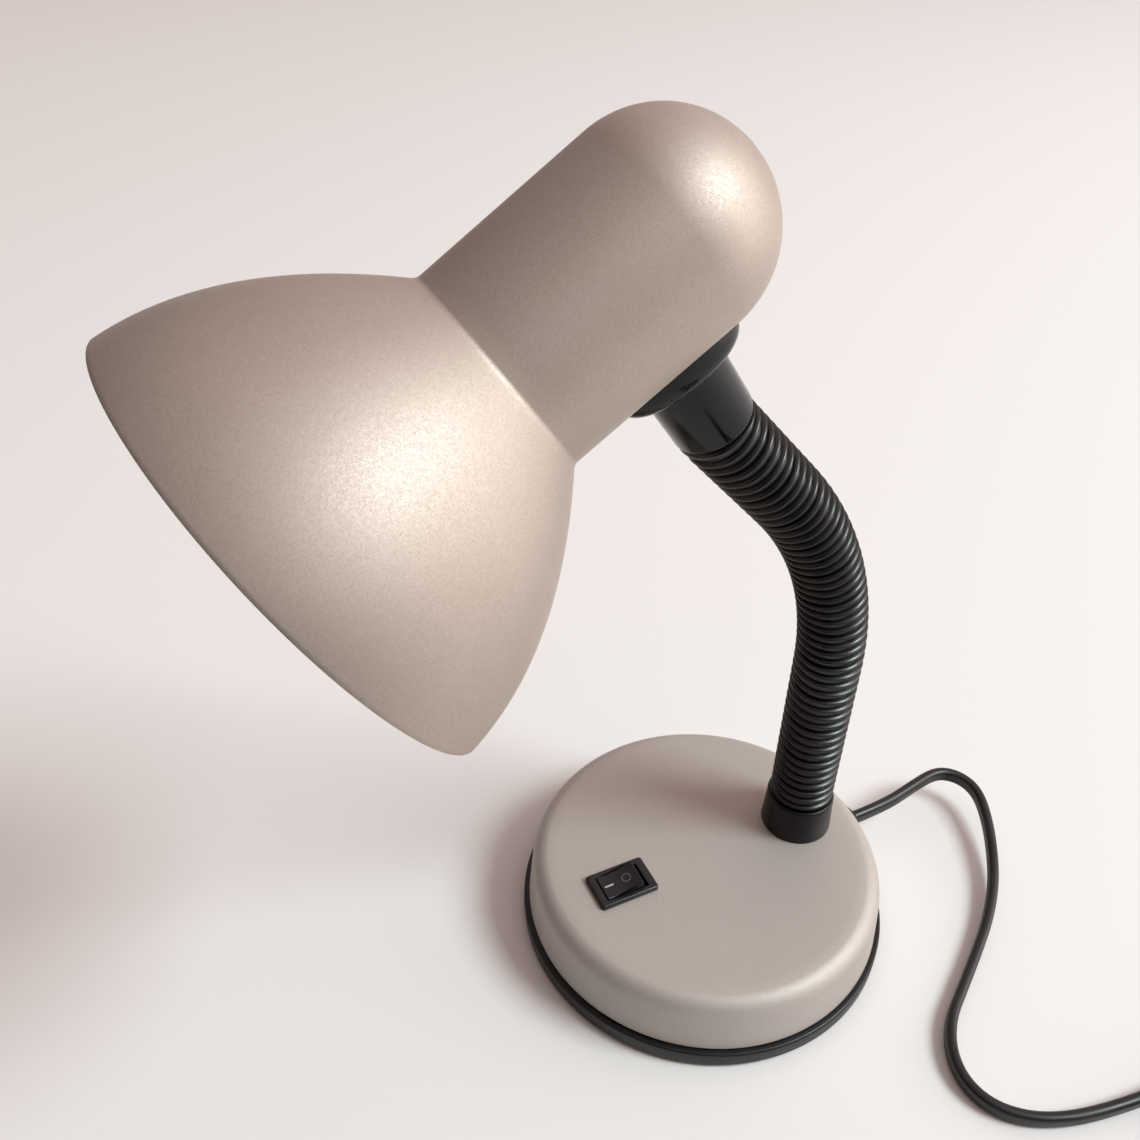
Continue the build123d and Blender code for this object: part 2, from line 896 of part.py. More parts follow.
def make_screw_shell():
    radius = cap_thread_radius + thread_play + shell_wall
    return shade_frame() * ring(radius, shell_wall, insert_front - shell_length, insert_front)


def make_centre_contact():
    return shade_frame() * rod(contact_radius, contact_front, insert_front)


def make_bulb_cap():
    cap = turned([
        (0, contact_front),
        (eyelet_radius, contact_front),
        (eyelet_radius + eyelet_edge, contact_front - eyelet_edge),
        (cap_thread_radius - cap_shoulder, cap_shell_end),
        (cap_thread_radius, cap_shell_end - cap_shoulder),
        (cap_thread_radius, cap_mouth),
        (0, cap_mouth),
    ])
    return shade_frame() * cap


def bulb_solid(inset):
    """Bulb's outline turned about the shade's axis, drawn in by an inset."""
    centre = bulb_tip + bulb_radius
    throat = (cap_thread_radius - throat_step - inset, 0, cap_mouth)
    throat_handle = (throat[0], 0, cap_mouth - throat_pull)
    radius = bulb_radius - inset
    lean = radians(waist_angle)
    waist = (radius * cos(lean), 0, centre + radius * sin(lean))
    waist_handle = (waist[0] - waist_pull * sin(lean), 0, waist[2] + waist_pull * cos(lean))
    tip = (0, 0, centre - radius)
    outline = [
        Line((0, 0, cap_mouth), throat),
        Bezier(throat, throat_handle, waist_handle, waist),
        ThreePointArc(waist, (radius, 0, centre), tip),
        Line(tip, (0, 0, cap_mouth)),
    ]
    return revolve(make_face(outline), Axis.Z)


def make_bulb_glass():
    return shade_frame() * (bulb_solid(0) - bulb_solid(bulb_wall))


def make_holder_wires():
    start_y = shade_radius - (stud_tip - standoff)
    wires = []
    for side in (-1, 1):
        x = lamp_wire_spread * side
        route = [
            (x, start_y - press, saddle_station),
            (x, 0, saddle_station),
            (x, 0, nipple_start - wire_radius),
        ]
        wires.append(wire_along(route, wire_radius))
    return shade_frame() * Compound(children=wires)


# Cord

def make_cord_bushing():
    wall_out = cover_radius - cover_draft * (cord_height - seat_height) / (base_height - seat_height)
    tip = cord_exit[1]
    flange_back = -wall_out - flange_seat
    flange_front = flange_back - flange_thickness
    body = turned([
        (0, -wall_out + cover_wall + bushing_in),
        (bushing_tip_radius, -wall_out + cover_wall + bushing_in),
        (bushing_radius, -wall_out + cover_wall + bushing_grip),
        (bushing_radius, flange_back),
        (bushing_flange, flange_back),
        (bushing_flange, flange_front),
        (bushing_radius - flange_neck, flange_front - flange_neck),
        (bushing_tip_radius, -tip),
        (0, -tip),
    ])
    slot = extrude(SlotOverall(cord_width + slip, cord_thickness + slip, 90), tip + cut_over, both=True)
    return Pos(0, 0, cord_height) * Rot(90, 0, 0) * (body - slot)


def make_cord_lead():
    return flat_cord_along(route_path(cord_route))


def make_cord_inner():
    return flat_cord_along(Line(cord_exit, (0, inner_end, cord_height)))


def make_cord_clamp():
    half = clamp_bar_length / 2
    bar = block(
        -half,
        half,
        clamp_y - clamp_bar_width / 2,
        clamp_y + clamp_bar_width / 2,
        clamp_under,
        clamp_under + clamp_bar_height,
    )
    bar = fillet(bar.edges().filter_by(Axis.Z), clamp_bar_corner)
    for side in (-1, 1):
        hole_top = clamp_under + clamp_bar_height
        bar -= rod(clamp_screw_radius + slip, clamp_under, hole_top, side * clamp_post_x, clamp_y)
    return bar


def make_clamp_screws():
    top = clamp_under + clamp_bar_height
    screws = []
    for side in (-1, 1):
        x = side * clamp_post_x
        shank = rod(clamp_screw_radius, floor_top + clamp_screw_foot, top, x, clamp_y)
        head = rod(clamp_head_radius, top, top + clamp_head_height, x, clamp_y)
        screws.append(shank + head)
    return Compound(children=screws)


wire_height = floor_top + ballast_thickness + wire_radius + wire_rise
blade_middle = base_height - switch_depth - blade_length / 2


def make_switch_wires():
    beside = blade_spacing / 2 + blade_thickness / 2 + wire_radius + 2 * slip
    back = switch_y + beside
    front = switch_y - beside
    feed = [
        (-wire_spread, inner_end - press, cord_height),
        (-wire_spread, inner_end - 4, cord_height),
        (-6, inner_end - 10, wire_height - 0.4),
        (-17, inner_end - 18, wire_height),
        (-20, 10, wire_height + 0.2),
        (-16, -12, wire_height),
        (-9, back + 3.5, blade_middle + 1),
        (-4.5, back, blade_middle),
        (2.5, back, blade_middle),
    ]
    out = [
        (-2.5, front, blade_middle),
        (4.5, front, blade_middle),
        (9, front + 2.5, blade_middle + 1),
        (16, -24, wire_height),
        (20, 2, wire_height + 0.2),
        (15, 24, wire_height),
        (5, neck_y - 7, wire_height),
        (-wire_spread, neck_y - wire_spread, wire_height + wire_rise),
        (-wire_spread, neck_y - wire_spread, lower_stud_end - press),
    ]
    return Compound(children=[wire_along(feed, wire_radius), wire_along(out, wire_radius)])


def make_neutral_wire():
    route = [
        (wire_spread, inner_end - press, cord_height),
        (wire_spread, inner_end - 4, cord_height),
        (wire_spread, neck_y + wire_spread, cord_height + wire_spread),
        (wire_spread, neck_y + wire_spread, lower_stud_end - press),
    ]
    return wire_along(route, wire_radius)


def coil_state(turn):
    """Point and direction on the coil after a number of turns: spiral in, climb, spiral out."""
    half = coil_turns / 2
    climb = min(max((turn - half) / climb_turns + 0.5, 0), 1)
    lift = climb * climb * (3 - 2 * climb)
    rise = layer_step * 6 * climb * (1 - climb) / climb_turns
    radius = coil_inner + coil_step * abs(turn - half)
    rate = 0.0
    if turn not in (0, half, coil_turns):
        rate = coil_step * (1 if turn > half else -1)
    angle = pi - 2 * pi * turn
    x = coil_start[0] + coil_outer + radius * cos(angle)
    y = coil_start[1] + radius * sin(angle)
    around = 2 * pi * radius
    direction = Vector(
        rate * cos(angle) + around * sin(angle), rate * sin(angle) - around * cos(angle), rise
    )
    return Vector(x, y, coil_middle_z + layer_step * lift), direction.normalized()


def biarc(p0, t0, p1, t1):
    """Two arcs that leave p0 along t0 and reach p1 along t1."""
    gap = p1 - p0
    both = t0 + t1
    a = both.dot(both) - 4
    b = -2 * gap.dot(both)
    c = gap.dot(gap)
    reach = (-b - sqrt(b * b - 4 * a * c)) / (2 * a)
    middle = (p0 + t0 * reach + p1 - t1 * reach) * 0.5
    first = TangentArc(p0, middle, tangent=t0)
    return [first, TangentArc(middle, p1, tangent=first % 1)]


def coil_path():
    quarters = int(coil_turns * 4)
    states = [coil_state(coil_turns * k / quarters) for k in range(quarters + 1)]
    edges = []
    for (p0, t0), (p1, t1) in zip(states, states[1:]):
        edges += biarc(p0, t0, p1, t1)
    return Wire(edges)


def make_cord_coil():
    return flat_cord_along(coil_path())


def coil_end():
    return coil_state(coil_turns)[0]


plug_back = coil_start[1] - tail_length
plug_middle_z = plug_thickness / 2 + press


def make_cord_tail():
    start = coil_end()
    x = start.X
    third = tail_length / 3
    route = [
        (x, start.Y, start.Z),
        (x, start.Y - third, start.Z),
        (x, plug_back + third, plug_middle_z),
        (x, plug_back, plug_middle_z),
    ]
    return flat_cord_along(route_path(route))


def make_coil_tie():
    centre_x = coil_start[0] + coil_outer
    margin = cord_thickness / 2 + 2 * free_gap
    near = coil_inner + 0.5 * coil_step - margin
    far = coil_outer - 0.75 * coil_step + margin
    low = coil_lift - 2 * slip
    high = coil_middle_z + layer_step + cord_width / 2 + free_gap
    y = coil_start[1]
    t = tie_thickness
    half = tie_width / 2
    band = block(centre_x - half, centre_x + half, y - far - t, y - near + t, low - t, high + t)
    return band - block(centre_x - half, centre_x + half, y - far, y - near, low, high)


def make_plug_body():
    x = coil_end().X
    half = plug_width / 2
    front = plug_back - plug_length
    outline = Polyline(
        (x - plug_shoulder, plug_back),
        (x + plug_shoulder, plug_back),
        (x + half, plug_back - plug_taper),
        (x + half, front + plug_corner),
        (x + half - plug_corner, front),
        (x - half + plug_corner, front),
        (x - half, front + plug_corner),
        (x - half, plug_back - plug_taper),
        close=True,
    )
    body = Pos(0, 0, press) * extrude(make_face(outline), plug_thickness)
    long_edges = body.edges().group_by(Axis.Z)[-1] + body.edges().group_by(Axis.Z)[0]
    return fillet(long_edges, plug_edge)


def make_plug_pins():
    face = plug_back - plug_length
    x = coil_end().X
    pins = []
    for side in (-1, 1):
        pin = Pos(x + side * pin_spacing / 2, face, plug_middle_z) * Rot(90, 0, 0) * rod(
            pin_radius, 0, pin_length
        )
        tip = pin.edges().sort_by(Axis.Y)[0]
        pins.append(fillet(tip, pin_tip))
    return Compound(children=pins)


def least_coil_gap():
    """Least clear distance between two stretches of the coil that are half a turn apart or more."""
    count = 1200
    points = [coil_state(coil_turns * k / count)[0] for k in range(count + 1)]
    apart = int(count * 0.5 / coil_turns)
    least = 1e9
    for i in range(0, count, 3):
        for j in range(i + apart, count + 1, 3):
            flat = hypot(points[i].X - points[j].X, points[i].Y - points[j].Y) - cord_thickness
            high = abs(points[i].Z - points[j].Z) - cord_width
            least = min(least, max(flat, high))
    return least


def export_all():
    os.makedirs("parts", exist_ok=True)
    nodes = {
        "base_pad": make_base_pad(),
        "base_plate": make_base_plate(),
        "base_cover": make_base_cover(),
        "base_screws": make_base_screws(),
        "ballast_weight": make_ballast(),
        "switch_housing": make_switch_housing(),
        "switch_rocker": make_switch_rocker(),
        "switch_terminals": make_switch_terminals(),
        "sleeve_cuff": make_sleeve_cuff(),
        "lower_fitting": make_lower_fitting(),
        "lower_washer": make_lower_washer(),
        "lower_nut": make_lower_nut(),
        "gooseneck_core": make_gooseneck_core(),
        "neck_lead": make_neck_lead(),
        "sleeve_foot": make_sleeve_foot(),
        "sleeve_top": make_sleeve_top(),
        "collar": make_collar(),
        "saddle": make_saddle(),
        "upper_fitting": make_upper_fitting(),
        "upper_washer": make_upper_washer(),
        "upper_nut": make_upper_nut(),
        "shade": make_shade(),
        "holder_bracket": make_bracket(),
        "holder_nipple": make_nipple(),
        "nipple_nut": make_nipple_nut(),
        "lampholder_cap": make_holder_cap(),
        "lampholder_body": make_holder_body(),
        "contact_block": make_contact_block(),
        "screw_shell": make_screw_shell(),
        "centre_contact": make_centre_contact(),
        "holder_wires": make_holder_wires(),
        "bulb_cap": make_bulb_cap(),
        "bulb_glass": make_bulb_glass(),
        "cord_bushing": make_cord_bushing(),
        "cord_inner": make_cord_inner(),
        "cord_clamp": make_cord_clamp(),
        "clamp_screws": make_clamp_screws(),
        "switch_wires": make_switch_wires(),
        "neutral_wire": make_neutral_wire(),
        "cord_lead": make_cord_lead(),
        "cord_coil": make_cord_coil(),
        "cord_tail": make_cord_tail(),
        "coil_tie": make_coil_tie(),
        "plug_body": make_plug_body(),
        "plug_pins": make_plug_pins(),
    }
    for k, link in enumerate(make_sleeve_links()):
        nodes[f"sleeve_link_{k + 1:02d}"] = link
    for name, solid in nodes.items():
        export_step(solid, f"parts/{name}.step")
    return nodes


def print_facts(nodes):
    """Prints joint places, cord radii, cord length and the coil's least gap to itself."""
    for k, s in enumerate(joint_stations()):
        y, z, lean = neck_place(s)
        print(f"joint {k + 1}: y {y:.3f} z {z:.3f} lean {degrees(lean):.3f}")
    print("cord radii", [round(r, 1) for r in run_radii(cord_route)])
    lead = route_path(cord_route).length
    coil = coil_path().length
    print(f"cord lead {lead:.0f} coil {coil:.0f} tail {tail_length:.0f} sum {lead + coil + tail_length:.0f}")
    section = SlotOverall(cord_width, cord_thickness).area
    for name, length in (("cord_lead", lead), ("cord_coil", coil)):
        print(f"{name} volume {nodes[name].volume:.0f} section times length {section * length:.0f}")
    print(f"least coil gap {least_coil_gap():.2f}")
    centre = shade_frame().position
    print(f"crease centre y {centre.Y:.2f} z {centre.Z:.2f}, pivot height {pivot_height:.2f}")
    end = coil_end()
    print(f"coil end x {end.X:.2f} y {end.Y:.2f} z {end.Z:.2f}, plug back {plug_back:.1f}")


print_facts(export_all())
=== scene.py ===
import math
import bmesh
import bpy
import numpy as np
from mathutils import Matrix, Vector
from mathutils.geometry import delaunay_2d_cdt


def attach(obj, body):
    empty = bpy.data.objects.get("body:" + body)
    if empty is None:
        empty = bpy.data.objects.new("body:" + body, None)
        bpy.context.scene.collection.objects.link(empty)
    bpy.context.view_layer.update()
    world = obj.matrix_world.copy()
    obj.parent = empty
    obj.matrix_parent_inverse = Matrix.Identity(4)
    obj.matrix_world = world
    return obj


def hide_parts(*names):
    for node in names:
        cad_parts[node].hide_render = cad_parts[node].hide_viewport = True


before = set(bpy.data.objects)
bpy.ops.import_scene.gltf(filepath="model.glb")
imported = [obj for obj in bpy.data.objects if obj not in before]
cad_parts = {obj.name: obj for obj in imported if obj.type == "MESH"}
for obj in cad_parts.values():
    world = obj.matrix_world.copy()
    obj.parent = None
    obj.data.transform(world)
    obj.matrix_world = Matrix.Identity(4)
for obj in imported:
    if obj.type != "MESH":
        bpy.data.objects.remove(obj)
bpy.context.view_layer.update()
scene = bpy.context.scene
scene.view_settings.view_transform = "Standard"
mm = 0.001
print("frame loaded,", len(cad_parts), "CAD nodes")

# camera at the photograph's place: metres, roll in degrees, lens and sensor in millimetres
camera = {
    "place": (0.226776, -0.171133, 0.379341), "look": (-0.71095, 0.34847, -0.61083), "roll": 1.19,
    "lens": 36.041, "sensor": 36.0, "near": 0.01}


def setCamera(c):
    # right and up come from the look line and a small roll: right = level cos(roll) + rise sin(roll)
    look = Vector(c["look"]).normalized()
    level = look.cross(Vector((0, 0, 1))).normalized()
    rise = level.cross(look)
    roll = math.radians(c["roll"])
    right = level * math.cos(roll) + rise * math.sin(roll)
    up = right.cross(look)
    data = bpy.data.cameras.new("photoCamera")
    data.lens = c["lens"]
    data.sensor_width = c["sensor"]
    data.clip_start = c["near"]
    eye = bpy.data.objects.new("photoCamera", data)
    eye.matrix_world = Matrix.Translation(c["place"]) @ Matrix((right, up, -look)).transposed().to_4x4()
    scene.collection.objects.link(eye)
    scene.camera = eye


setCamera(camera)
print("camera set")


# colours and nodes

def hexColour(code):
    # sRGB to linear light: c / 12.92 below 0.04045, else ((c + 0.055) / 1.055) ^ 2.4
    c = np.array([int(code[i:i + 2], 16) for i in (1, 3, 5)]) / 255
    return (*np.where(c <= 0.04045, c / 12.92, ((c + 0.055) / 1.055) ** 2.4).tolist(), 1.0)


def addNode(tree, kind, values=None, links=None, **settings):
    # one node with its settings, its own socket values and the sockets that feed it
    node = tree.nodes.new("ShaderNode" + kind)
    for key, value in settings.items():
        setattr(node, key, value)
    for key, value in (values or {}).items():
        node.inputs[key].default_value = value
    for key, source in (links or {}).items():
        tree.links.new(source, node.inputs[key])
    return node


def newFinish(name, values):
    # material whose shader takes these plain values
    finish = bpy.data.materials.new(name)
    finish.use_nodes = True
    shader = finish.node_tree.nodes["Principled BSDF"]
    for key, value in values.items():
        shader.inputs[key].default_value = value
    return finish, finish.node_tree, shader


def perMm(size):
    # noise scale that puts one feature about every size millimetres
    return 1000.0 / size


# spread of tone and roughness inside one finish, and the depth of its bumps in metres
paintSpread = {"flakeLow": 0.1, "flakeHigh": 0.65, "drift": 0.25, "smoother": 0.05, "rougher": 0.06}
plasticSpread = {"smoother": 0.05, "rougher": 0.07, "specular": 0.5}
metalSpread = {"smoother": 0.08, "rougher": 0.1}
bumpDepth = 0.0001


def dress(tree, shader, s, spread, share, gloss, height, glossFrom=(0.0, 1.0)):
    # what paint, plastic and metal have alike: two tones by share, roughness by gloss, bumps by height
    colour = addNode(tree, "Mix", {6: hexColour(s["dark"]), 7: hexColour(s["light"])},
        {0: share}, data_type="RGBA")
    rough = addNode(tree, "MapRange", {
        "From Min": glossFrom[0], "From Max": glossFrom[1],
        "To Min": s["rough"] - spread["smoother"], "To Max": s["rough"] + spread["rougher"]},
        {"Value": gloss})
    bump = addNode(tree, "Bump", {"Strength": s["bump"], "Distance": bumpDepth}, {"Height": height})
    tree.links.new(colour.outputs[2], shader.inputs["Base Color"])
    tree.links.new(rough.outputs["Result"], shader.inputs["Roughness"])
    tree.links.new(bump.outputs["Normal"], shader.inputs["Normal"])


def metallicPaint(name, s):
    # stoved metallic enamel: flakes in a tinted binder, a faint orange peel and a soft satin sheen
    spread = paintSpread
    finish, tree, shader = newFinish(name, {
        "Metallic": s["metallic"], "Coat Weight": s["coat"], "Coat Roughness": s["coatRough"]})
    coords = addNode(tree, "TexCoord").outputs["Object"]
    flakes = addNode(tree, "TexVoronoi", {"Scale": perMm(s["flake"])}, {"Vector": coords})
    cloud = addNode(tree, "TexNoise", {"Scale": perMm(s["cloud"]), "Detail": 3.0}, {"Vector": coords})
    grey = addNode(tree, "SeparateColor", None, {"Color": flakes.outputs["Color"]})
    tone = addNode(tree, "MapRange", {"To Min": spread["flakeLow"], "To Max": spread["flakeHigh"]},
        {"Value": grey.outputs["Red"]})
    drift = addNode(tree, "MapRange", {
        "From Min": 0.3, "From Max": 0.7, "To Min": 0.0, "To Max": spread["drift"]},
        {"Value": cloud.outputs["Fac"]})
    share = addNode(tree, "Math", None,
        {0: tone.outputs["Result"], 1: drift.outputs["Result"]}, operation="ADD")
    peel = addNode(tree, "TexNoise", {"Scale": perMm(s["peel"]), "Detail": 1.0}, {"Vector": coords})
    height = addNode(tree, "Math", {1: s["flakeTilt"]},
        {0: grey.outputs["Blue"], 2: peel.outputs["Fac"]}, operation="MULTIPLY_ADD")
    dress(tree, shader, s, spread, share.outputs[0], grey.outputs["Green"], height.outputs[0])
    return finish


def mouldedPlastic(name, s):
    # moulded plastic: near-black body, a fine moulded grain, slightly uneven gloss and dust-pale patches
    spread = plasticSpread
    finish, tree, shader = newFinish(name, {"Specular IOR Level": s.get("specular", spread["specular"])})
    coords = addNode(tree, "TexCoord").outputs["Object"]
    cloud = addNode(tree, "TexNoise", {"Scale": perMm(s["cloud"]), "Detail": 4.0}, {"Vector": coords})
    patch = cloud.outputs["Fac"]
    share = addNode(tree, "MapRange", {"From Min": 0.35, "From Max": 0.7}, {"Value": patch})
    grain = addNode(tree, "TexNoise", {"Scale": perMm(s["grain"]), "Detail": 2.0}, {"Vector": coords})
    dress(tree, shader, s, spread, share.outputs["Result"], patch, grain.outputs["Fac"], (0.3, 0.7))
    return finish


def bareMetal(name, s):
    # bare or plated metal: fine drawn lines and faint tarnish patches
    finish, tree, shader = newFinish(name, {"Metallic": 1.0})
    coords = addNode(tree, "TexCoord").outputs["Object"]
    cloud = addNode(tree, "TexNoise", {"Scale": perMm(s["cloud"]), "Detail": 3.0}, {"Vector": coords})
    lines = addNode(tree, "TexNoise", {"Scale": perMm(s["grain"]), "Detail": 1.0}, {"Vector": coords})
    patch = cloud.outputs["Fac"]
    dress(tree, shader, s, metalSpread, patch, patch, lines.outputs["Fac"])
    return finish


def opalGlass(name, s):
    # opal bulb glass: milk-white, smooth and glossy with a little light passing into it
    finish, tree, shader = newFinish(name, {
        "Roughness": s["rough"], "Subsurface Weight": s["milk"],
        "Subsurface Radius": (s["depth"],) * 3, "Subsurface Scale": s["milkScale"]})
    coords = addNode(tree, "TexCoord").outputs["Object"]
    cloud = addNode(tree, "TexNoise", {"Scale": perMm(s["cloud"]), "Detail": 2.0}, {"Vector": coords})
    colour = addNode(tree, "Mix", {6: hexColour(s["dark"]), 7: hexColour(s["light"])},
        {0: cloud.outputs["Fac"]}, data_type="RGBA")
    tree.links.new(colour.outputs[2], shader.inputs["Base Color"])
    return finish


# painted steel: warm satin sheen, flakes just fine enough to sparkle, drawn coarser than real ones to show
shadeEnamel = metallicPaint("champagneSatinEnamel", {
    "dark": "#b0a298", "light": "#c4b7ad", "metallic": 0.85, "rough": 0.62, "coat": 0.3, "coatRough": 0.4,
    "flake": 0.3, "cloud": 30.0, "peel": 1.6, "flakeTilt": 0.25, "bump": 0.05})
baseEnamel = metallicPaint("warmSilverSatinEnamel", {
    "dark": "#b3aaa4", "light": "#bfb7b1", "metallic": 0.45, "rough": 0.62, "coat": 0.08, "coatRough": 0.36,
    "flake": 0.3, "cloud": 40.0, "peel": 1.8, "flakeTilt": 0.3, "bump": 0.05})
# moulded blacks, from the mirror-like collar to the dull rubber pad
glossAbs = mouldedPlastic("blackGlossAbs", {
    "dark": "#060609", "light": "#0a0a0d", "rough": 0.1, "specular": 0.26,
    "cloud": 9.0, "grain": 0.5, "bump": 0.01})
sleevePvc = mouldedPlastic("blackSleevePvc", {
    "dark": "#05050a", "light": "#0a090e", "rough": 0.31, "specular": 0.62,
    "cloud": 7.0, "grain": 0.35, "bump": 0.05})
cuffPvc = mouldedPlastic("blackCuffPvc", {
    "dark": "#05050a", "light": "#0a090e", "rough": 0.34, "specular": 0.3,
    "cloud": 7.0, "grain": 0.35, "bump": 0.05})
rimPlastic = mouldedPlastic("blackRimPolypropylene", {
    "dark": "#0a090b", "light": "#121113", "rough": 0.4, "specular": 0.4,
    "cloud": 12.0, "grain": 0.6, "bump": 0.1})
switchPlastic = mouldedPlastic("blackSwitchNylon", {
    "dark": "#0e0e10", "light": "#161518", "rough": 0.36, "cloud": 5.0, "grain": 0.3, "bump": 0.05})
cordPvc = mouldedPlastic("blackCordPvc", {
    "dark": "#0e0d0f", "light": "#171619", "rough": 0.38, "cloud": 14.0, "grain": 0.6, "bump": 0.06})
padRubber = mouldedPlastic("blackPadRubber", {
    "dark": "#1a1a1a", "light": "#262626", "rough": 0.75, "cloud": 8.0, "grain": 0.5, "bump": 0.2})
holderPhenolic = mouldedPlastic("blackHolderPhenolic", {
    "dark": "#1c1a19", "light": "#2b2826", "rough": 0.45, "cloud": 6.0, "grain": 0.4, "bump": 0.08})
# printed marks (the off mark drawn darker than the on mark), wire insulation and the rough cast weight
markInk = mouldedPlastic("paleMarkInk", {
    "dark": "#9a989a", "light": "#b4b2b2", "rough": 0.5, "cloud": 2.0, "grain": 0.25, "bump": 0.05})
# the off mark: the on mark's finish, drawn darker
offMarkDarkTone = mouldedPlastic("offMarkDarkerTone", {
    "dark": "#4c4b4f", "light": "#5f5e62", "rough": 0.5, "cloud": 2.0, "grain": 0.25, "bump": 0.05})
wirePvc = mouldedPlastic("brownWirePvc", {
    "dark": "#4a3426", "light": "#5d4331", "rough": 0.45, "cloud": 5.0, "grain": 0.4, "bump": 0.05})
castIron = mouldedPlastic("castIronWeight", {
    "dark": "#33312f", "light": "#4a4744", "rough": 0.7, "cloud": 4.0, "grain": 0.8, "bump": 0.6})
# metals of the hidden works and the plug
zincSteel = bareMetal("zincPlatedSteel", {
    "dark": "#9c9ea0", "light": "#c2c4c6", "rough": 0.34, "cloud": 6.0, "grain": 0.3, "bump": 0.08})
brass = bareMetal("rolledBrass", {
    "dark": "#b08d4a", "light": "#d1b06c", "rough": 0.3, "cloud": 5.0, "grain": 0.3, "bump": 0.08})
capAluminium = bareMetal("rolledAluminium", {
    "dark": "#b9babc", "light": "#d8d9da", "rough": 0.3, "cloud": 5.0, "grain": 0.3, "bump": 0.08})
bulbOpal = opalGlass("opalBulbGlass", {
    "dark": "#e4e1da", "light": "#f0eee9", "rough": 0.12, "milk": 0.25, "depth": 0.004, "milkScale": 0.5,
    "cloud": 18.0})
print("finishes made")


# shapes; weld and sliver distances are in metres, the rest in millimetres

meshCare = {"weld": 2e-6, "sliver": 1e-6}


def gridFaces(rows, cols, wrapRows, wrapCols, first=0):
    # quads of a grid of points, row by row; a wrapped side joins its last line to its first
    i = np.arange(rows if wrapRows else rows - 1)[:, None]
    j = np.arange(cols if wrapCols else cols - 1)[None, :]
    nextI, nextJ = (i + 1) % rows, (j + 1) % cols
    quads = np.stack([i * cols + j, i * cols + nextJ, nextI * cols + nextJ, nextI * cols + j], -1)
    return (quads.reshape(-1, 4) + first).tolist()


def endCaps(rows, cols):
    # one face on the first ring of a tube and one on its last
    return [list(range(cols)), list(range((rows - 1) * cols, rows * cols))]


def ringFaces(first, second, count):
    # quads between two rings of equal count, given by the index of each one's first point
    k = np.arange(count)
    return np.stack([first + k, first + (k + 1) % count, second + (k + 1) % count, second + k], -1).tolist()


def makePiece(name, points, faces, finish, sharp=38.0):
    # doubles are welded, faces turned outwards and only edges over the sharp angle kept sharp
    mesh = bpy.data.meshes.new(name)
    mesh.from_pydata((np.asarray(points, float).reshape(-1, 3) * mm).tolist(), [], faces)
    shell = bmesh.new()
    shell.from_mesh(mesh)
    bmesh.ops.remove_doubles(shell, verts=shell.verts, dist=meshCare["weld"])
    bmesh.ops.dissolve_degenerate(shell, edges=shell.edges, dist=meshCare["sliver"])
    bmesh.ops.recalc_face_normals(shell, faces=shell.faces)
    shell.to_mesh(mesh)
    shell.free()
    mesh.polygons.foreach_set("use_smooth", np.ones(len(mesh.polygons), bool))
    mesh.set_sharp_from_angle(angle=math.radians(sharp))
    mesh.materials.append(finish)
    piece = bpy.data.objects.new(name, mesh)
    scene.collection.objects.link(piece)
    return piece


def loopPiece(name, rings, finish, sharp=38.0, capped=False):
    # rings joined one to the next, and the last to the first unless both ends are capped
    rows, count = rings.shape[:2]
    faces = gridFaces(rows, count, not capped, True)
    return makePiece(name, rings, faces + endCaps(rows, count) if capped else faces, finish, sharp)


def settle(piece, body, nodes=()):
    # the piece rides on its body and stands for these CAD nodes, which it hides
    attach(piece, body)
    if nodes:
        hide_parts(*nodes)
    return piece


def placeAt(origin, axes=((1, 0, 0), (0, 1, 0), (0, 0, 1))):
    # where a piece's own x, y and z axes lie
    return {"origin": np.array(origin, float), "axes": np.array(axes, float)}


def onPlace(points, place):
    # own coordinates to the frame's: origin + x X + y Y + z Z
    return points @ place["axes"] + place["origin"]


def roundAngles(count):
    # full turn in equal steps, without its end
    return np.linspace(0, 2 * np.pi, count, endpoint=False)


def circle(radius, angles, centre=(0, 0)):
    # centre + radius (cos a, sin a)
    return radius * np.stack([np.cos(angles), np.sin(angles)], -1) + np.asarray(centre)


def smooth(t):
    # eased step 3 t^2 - 2 t^3 between 0 and 1
    return t ** 2 * (3 - 2 * t)


def cubic(hold, u):
    # Bezier curve of four held points: (1-u)^3 A + 3u(1-u)^2 B + 3u^2(1-u) C + u^3 D
    a, b, c, d = hold
    return (1 - u) ** 3 * a + 3 * u * (1 - u) ** 2 * b + 3 * u ** 2 * (1 - u) * c + u ** 3 * d


def roundCorners(outline, cut, steps=7):
    # corner P becomes (1-t)^2 (P + c a) + 2t(1-t) P + t^2 (P + c b), a and b towards its neighbours
    p = np.asarray(outline, float)
    c = np.asarray(cut, float)[:, None]
    back = np.roll(p, 1, 0) - p
    ahead = np.roll(p, -1, 0) - p
    back /= np.linalg.norm(back, axis=1)[:, None]
    ahead /= np.linalg.norm(ahead, axis=1)[:, None]
    t = np.linspace(0, 1, steps)[None, :, None]
    start, end = (p + c * back)[:, None], (p + c * ahead)[:, None]
    return ((1 - t) ** 2 * start + 2 * t * (1 - t) * p[:, None] + t ** 2 * end).reshape(-1, 2)


def turn(outline, place, angles):
    # outline point (r, h) turned about the place's Z: origin + r cos a X + r sin a Y + h Z
    r, h = np.asarray(outline)[:, 0, None], np.asarray(outline)[:, 1, None]
    return onPlace(np.stack([r * np.cos(angles), r * np.sin(angles), h + 0 * angles], -1), place)


def turnedPiece(name, outline, place, finish, count=160, sharp=38.0):
    # closed outline turned all the way round
    return loopPiece(name, turn(outline, place, roundAngles(count)), finish, sharp)


